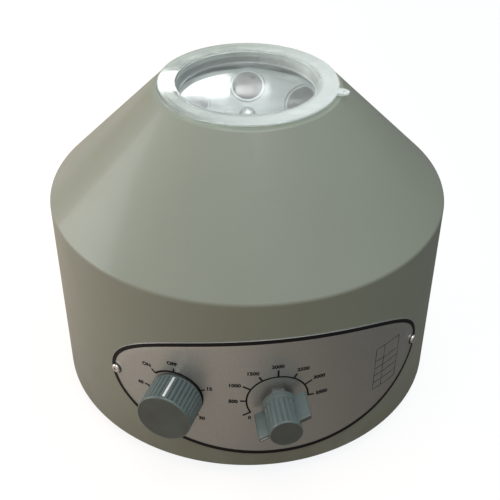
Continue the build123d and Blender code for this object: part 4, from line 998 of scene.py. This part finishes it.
class MakeTimerKnob(bpy.types.Operator):
    """Makes the round ribbed timer knob with its white line"""

    bl_idname = "centrifuge.timer_knob"
    bl_label = "Timer Knob"

    def execute(self, context):
        timer = context.scene.centrifuge_timer
        radius, height, face = timer.radius, timer.height, timer.radius - 0.0011
        foot, bead, run, depth = 0.0013, 0.0014, 0.0003, 0.001
        place = wall_place(timer.azimuth, plate_radius + timer.lift, timer.level)
        outline = [
            (0, 0),
            (radius, 0, 0.0002),
            (radius, foot),
            (radius, foot + run),
            (radius, height / 2),
            (radius, height - bead - run),
            (radius, height - bead),
            (radius, height, 0.0009),
            (radius - 0.001, height, 0.0001),
            (face, height - 0.0003),
            (0, height - 0.0003),
        ]
        knob = piece("timer_knob_body", lathe(outline, timer.ribs * 12, 6), finish("knob"))
        flute(knob, timer.ribs, depth, radius * 0.9, foot, height - bead, run)
        knob.data.transform(place)
        fit(knob, "timer_dial", "knob_plastic", "timer_knob")
        knob_shaded_face("timer_knob_shaded_face", face, height - 0.0006, height - 0.0001, place, "timer_dial")

        bar = prism(oblong(-0.0008, 0.0008, face, radius - 0.0001), foot + 0.0002, height - bead - 0.0009)
        bevel(bar, bar.edges[:], 0.0002, 2)
        fit(piece("timer_knob_line", bar, finish("white"), place), "timer_dial", "knob_plastic")
        return {"FINISHED"}


class MakeSpeedKnob(bpy.types.Operator):
    """Makes the speed knob: a ribbed tapered boss, its skirt and the pointer bar through it"""

    bl_idname = "centrifuge.speed_knob"
    bl_label = "Speed Knob"

    def execute(self, context):
        speed = context.scene.centrifuge_speed
        radius, height = speed.radius, speed.height
        tip, start, end, run = radius - 0.0002, 0.0046, height - 0.0016, 0.0004
        plastic = finish("knob")
        place = wall_place(0, plate_radius + speed.lift, speed.level)

        def side(level, *rounding):
            return (radius + (tip - radius) * level / height, level, *rounding)

        outline = [(0, 0), (0.0111, 0, 0.0003), (0.0108, 0.0038, 0.0005), side(0.0042, 0.0001)]
        outline += [side(level) for level in (start, start + run, height / 2, end - run, end)]
        outline += [
            (tip, height, 0.0007),
            (tip - 0.0008, height, 0.0001),
            (tip - 0.0009, height - 0.0002),
            (0, height - 0.0002),
        ]
        boss = piece("speed_knob_boss", lathe(outline, speed.ribs * 16, 6), plastic)
        flute(boss, speed.ribs, 0.0009, radius * 0.9, start, end, run)
        boss.data.transform(place)
        fit(boss, "speed_dial", "knob_plastic", "speed_knob")

        turned = place @ Matrix.Rotation(speed.bar_angle, 4, "Z")
        top, foot, reach = speed.bar_height, radius + 0.0006, speed.bar_reach - 0.0009
        bar = prism(slot_outline(speed.bar_reach, 0.0015, 8), 0, top)
        rim = [edge for edge in bar.edges if min(vertex.co.z for vertex in edge.verts) > top - 1e-6]
        bevel(bar, rim, 0.0006, 4)
        fit(piece("speed_knob_bar", bar, plastic, turned), "speed_dial", "knob_plastic")
        knob_shaded_face("speed_knob_shaded_face", tip - 0.0009, height - 0.0005, height - 0.0001, place, "speed_dial")

        def stripe(start, end, middle, half, lift):
            return prism(oblong(start, end, middle - half, middle + half), top - 0.0001, top + lift)

        white = stripe(foot, reach, 0, 0.00035, 0.00006)
        edges = [stripe(foot, reach, middle, 0.0002, 0.00003) for middle in (0.00065, -0.00065)]
        # The wide dark strip on the other wing is painted shade: dark plastic over that wing's top face,
        # where shade falls.
        edges.append(stripe(-reach, -foot, 0, 0.00115, 0.00003))
        fit(piece("speed_pointer_line", white, finish("white"), turned), "speed_dial", "knob_plastic")
        edges = piece("speed_pointer_edges_and_shade", joined(edges), finish("dark"), turned)
        fit(edges, "speed_dial", "dark_plastic")
        return {"FINISHED"}


class MakeSleeves(bpy.types.Operator):
    """Makes the six slanted aluminium tube sleeves with their turned rims"""

    bl_idname = "centrifuge.sleeves"
    bl_label = "Tube Sleeves"

    def execute(self, context):
        rotor = context.scene.centrifuge_rotor
        inner, outer = rotor.sleeve_radius, rotor.sleeve_radius + 0.0008
        straight = rotor.sleeve_length - outer
        rim_radius, rim, seat, steps = 0.0117, 0.0012, 0.0006, 12

        def bowl(radius):
            turns = [pi / 2 * number / steps for number in range(steps + 1)]
            return [(radius * sin(turn), -straight - radius * cos(turn)) for turn in turns]

        lip = [(outer, 0, 0.0002), (rim_radius, 0, 0.0002), (rim_radius, rim, 0.0005), (inner, rim, 0.0004)]
        outline = bowl(outer) + lip + bowl(inner)[::-1]
        lean = Vector((-sin(rotor.tilt), 0, cos(rotor.tilt)))
        across = Vector((cos(rotor.tilt), 0, sin(rotor.tilt)))
        turned = Matrix((across, Vector((0, 1, 0)), lean)).transposed().to_4x4()
        place = Matrix.Translation((rotor.ring_radius, 0, rotor.mouth_height)) @ turned
        place = place @ Matrix.Translation((0, 0, -seat))
        sleeves = piece("sleeves", lathe(outline, 96, 4), finish("sleeve"), place)
        repeat(sleeves, rotor.tubes, 0, rotor.turn - pi / 2, 2 * pi / rotor.tubes)
        fit(sleeves, "rotor", "sleeve_aluminium", "tube_sleeves")
        return {"FINISHED"}


class MakeFeet(bpy.types.Operator):
    """Makes the four rubber feet"""

    bl_idname = "centrifuge.feet"
    bl_label = "Feet"

    def execute(self, context):
        radius, low, top = 0.011, foot_low.z, foot_high.z
        outline = [
            (0, low + 0.0006),
            (radius * 0.45, low + 0.0006, 0.0003),
            (radius * 0.5, low, 0.0003),
            (radius, low, 0.001),
            (radius, top, 0.0003),
            (0, top),
        ]
        feet = piece("feet", lathe(outline, 64, 5), finish("rubber"))
        repeat(feet, 4, (foot_high.x - radius) * sqrt(2), pi / 4, pi / 2)
        fit(feet, "housing", "black_rubber", "rubber_feet")
        return {"FINISHED"}


class CoatSolids(bpy.types.Operator):
    """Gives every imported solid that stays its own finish"""

    bl_idname = "centrifuge.solids"
    bl_label = "Inner Parts"

    def execute(self, context):
        solids = {
            "cast": "angle_rotor",
            "bright": "rotor_nut rotor_washer",
            "bowl": "chamber_bowl",
            "zinc": "base_screws base_nuts base_plate foot_screws pillar_screws bowl_pillars motor_plate"
            " damper_studs damper_nuts motor_screws timer_screws board_screws collar_set_screw"
            " potentiometer_nut fuse_clips",
            "bearing": "motor_shaft motor_bearings drive_collar timer_shaft speed_shaft",
            "rubber": "motor_dampers sleeve_cushions shaft_boot",
            "dark": "cord_gland gland_nut timer_case potentiometer triac",
            "can": "motor_can motor_lower_bell motor_upper_bell",
            "core": "stator_core armature_core",
            "copper": "field_coils armature_windings",
            "brass": "commutator brush_holders",
            "carbon": "brushes",
            "knob": "cooling_fan",
            "board": "control_board",
            "sleeve": "heat_sink board_spacers",
            "capacitor": "mains_capacitor",
            "terminal": "terminal_block",
            "glass": "fuse",
        }
        for key, nodes in solids.items():
            for node in nodes.split():
                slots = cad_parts[node].data.materials
                slots.clear()
                slots.append(finish(key))
        return {"FINISHED"}


def white_to_camera(surface):
    """Shows the floor white to the camera and through the lid, and weaker in mirror images."""
    across = surface.parts(surface.coordinates)["X"]
    right = surface.spread(across, 0, 1, -0.25, 0.25)
    seen = surface.node("ShaderNodeLightPath").outputs
    clear = surface.maths("MAXIMUM", seen["Is Camera Ray"], seen["Is Transmission Ray"])
    shine = surface.times(seen["Is Glossy Ray"], surface.spread(across, 0.5, 0.05, -0.5, 0.1))
    glow = surface.times(surface.maths("MAXIMUM", clear, shine), surface.spread(right, 0.86, 0.94, 0, 1))
    surface.shader.inputs["Emission Color"].default_value = (0.96, 0.98, 1, 1)
    surface.feed("Emission Strength", glow)
    return right


class MakeStage(bpy.types.Operator):
    """Sets up the floor, the lamps, the pale surroundings and the camera"""

    bl_idname = "centrifuge.stage"
    bl_label = "Stage"

    def execute(self, context):
        scene, stage = context.scene, context.scene.centrifuge_stage
        scene.view_settings.view_transform = "Standard"

        build = bmesh.new()
        bmesh.ops.create_circle(build, cap_ends=True, segments=96, radius=4)
        surface = Finish("Floor", stage.floor_left, 0.8, Specular_IOR_Level=0.1)
        right = white_to_camera(surface)
        surface.feed("Base Color", surface.mix(right, stage.floor_left, stage.floor_right))
        piece("floor", build, surface.material)

        world = bpy.data.worlds.new("Studio")
        world.use_nodes = True
        scene.world = world
        room = Nodes(world.node_tree)
        parts = room.parts(room.node("ShaderNodeTexCoord").outputs["Generated"])
        across, up = room.spread(parts["X"], 0, 1, -0.8, 0.8), room.spread(parts["Z"], 0, 1, 0, 0.8)
        light = room.mix(up, room.mix(across, stage.horizon_left, stage.horizon_right), stage.ceiling)
        seen = room.node("ShaderNodeLightPath").outputs["Is Camera Ray"]
        background = world.node_tree.nodes["Background"].inputs
        world.node_tree.links.new(room.mix(seen, light, (1, 1, 1)), background["Color"])
        background["Strength"].default_value = 1

        for name, spot, aim, wide, tall, power in (
            ("Top Lamp", (0.1, -0.1, 1.7), (0, 0, 0.1), 1.1, 1.1, 9),
            ("Left Lamp", (-1.5, 0.35, 0.6), (0, 0, 0.12), 1.3, 0.7, 7),
            ("Window Lamp", (0.084, 1.5, 0.94), (0, 0, 0.21), 0.185, 0.044, 0.25),
            ("Pane Lamp", (0.235, 1.5, 0.958), (0, 0, 0.21), 0.083, 0.026, 0.025),
        ):
            lamp = bpy.data.lights.new(name, "AREA")
            lamp.shape = "RECTANGLE"
            lamp.size, lamp.size_y, lamp.energy = wide, tall, power
            aim_at(name, lamp, spot, aim)

        camera = bpy.data.cameras.new("Camera")
        camera.lens = stage.lens
        camera.sensor_width = 36
        camera.clip_start, camera.clip_end = 0.01, 20
        spot, aim, roll = (-0.0759, -0.5113, 0.4648), (0.0021, 0, 0.0837), radians(0.37)
        scene.camera = aim_at("Camera", camera, spot, aim, roll)
        return {"FINISHED"}


def aim_at(name, data, spot, aim, roll=0.0):
    """Puts a lamp or a camera at a spot, turned to what it looks at."""
    holder = bpy.data.objects.new(name, data)
    bpy.context.scene.collection.objects.link(holder)
    look = (Vector(aim) - Vector(spot)).to_track_quat("-Z", "Y").to_matrix().to_4x4()
    holder.matrix_world = Matrix.Translation(spot) @ look @ Matrix.Rotation(roll, 4, "Z")
    return holder


makers = (
    MakeHousing,
    MakeLid,
    MakePanel,
    PrintPanel,
    MakeTimerKnob,
    MakeSpeedKnob,
    MakeSleeves,
    MakeFeet,
    CoatSolids,
    MakeStage,
)
groups = {
    "centrifuge_housing": CentrifugeHousing,
    "centrifuge_lid": CentrifugeLid,
    "centrifuge_panel": CentrifugePanel,
    "centrifuge_timer": CentrifugeTimer,
    "centrifuge_speed": CentrifugeSpeed,
    "centrifuge_rotor": CentrifugeRotor,
    "centrifuge_stage": CentrifugeStage,
}


class CentrifugeSidebar(bpy.types.Panel):
    """Lists the operators and the settings of the centrifuge"""

    bl_idname = "VIEW3D_PT_centrifuge"
    bl_label = "Bench Centrifuge"
    bl_space_type = "VIEW_3D"
    bl_region_type = "UI"
    bl_category = "Centrifuge"

    def draw(self, context):
        for maker in makers:
            self.layout.operator(maker.bl_idname)
        for name in groups:
            box = self.layout.box()
            group = getattr(context.scene, name)
            for key in group.bl_rna.properties.keys():
                if key not in ("rna_type", "name"):
                    box.prop(group, key)


def register():
    for kind in (*groups.values(), *makers, CentrifugeSidebar):
        bpy.utils.register_class(kind)
    for name, kind in groups.items():
        setattr(bpy.types.Scene, name, PointerProperty(type=kind))


def unregister():
    for name in groups:
        delattr(bpy.types.Scene, name)
    for kind in (CentrifugeSidebar, *makers[::-1], *groups.values()):
        bpy.utils.unregister_class(kind)


def main():
    """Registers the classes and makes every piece."""
    register()
    for maker in makers:
        group, name = maker.bl_idname.split(".")
        getattr(getattr(bpy.ops, group), name)()


if __name__ == "__main__":
    main()
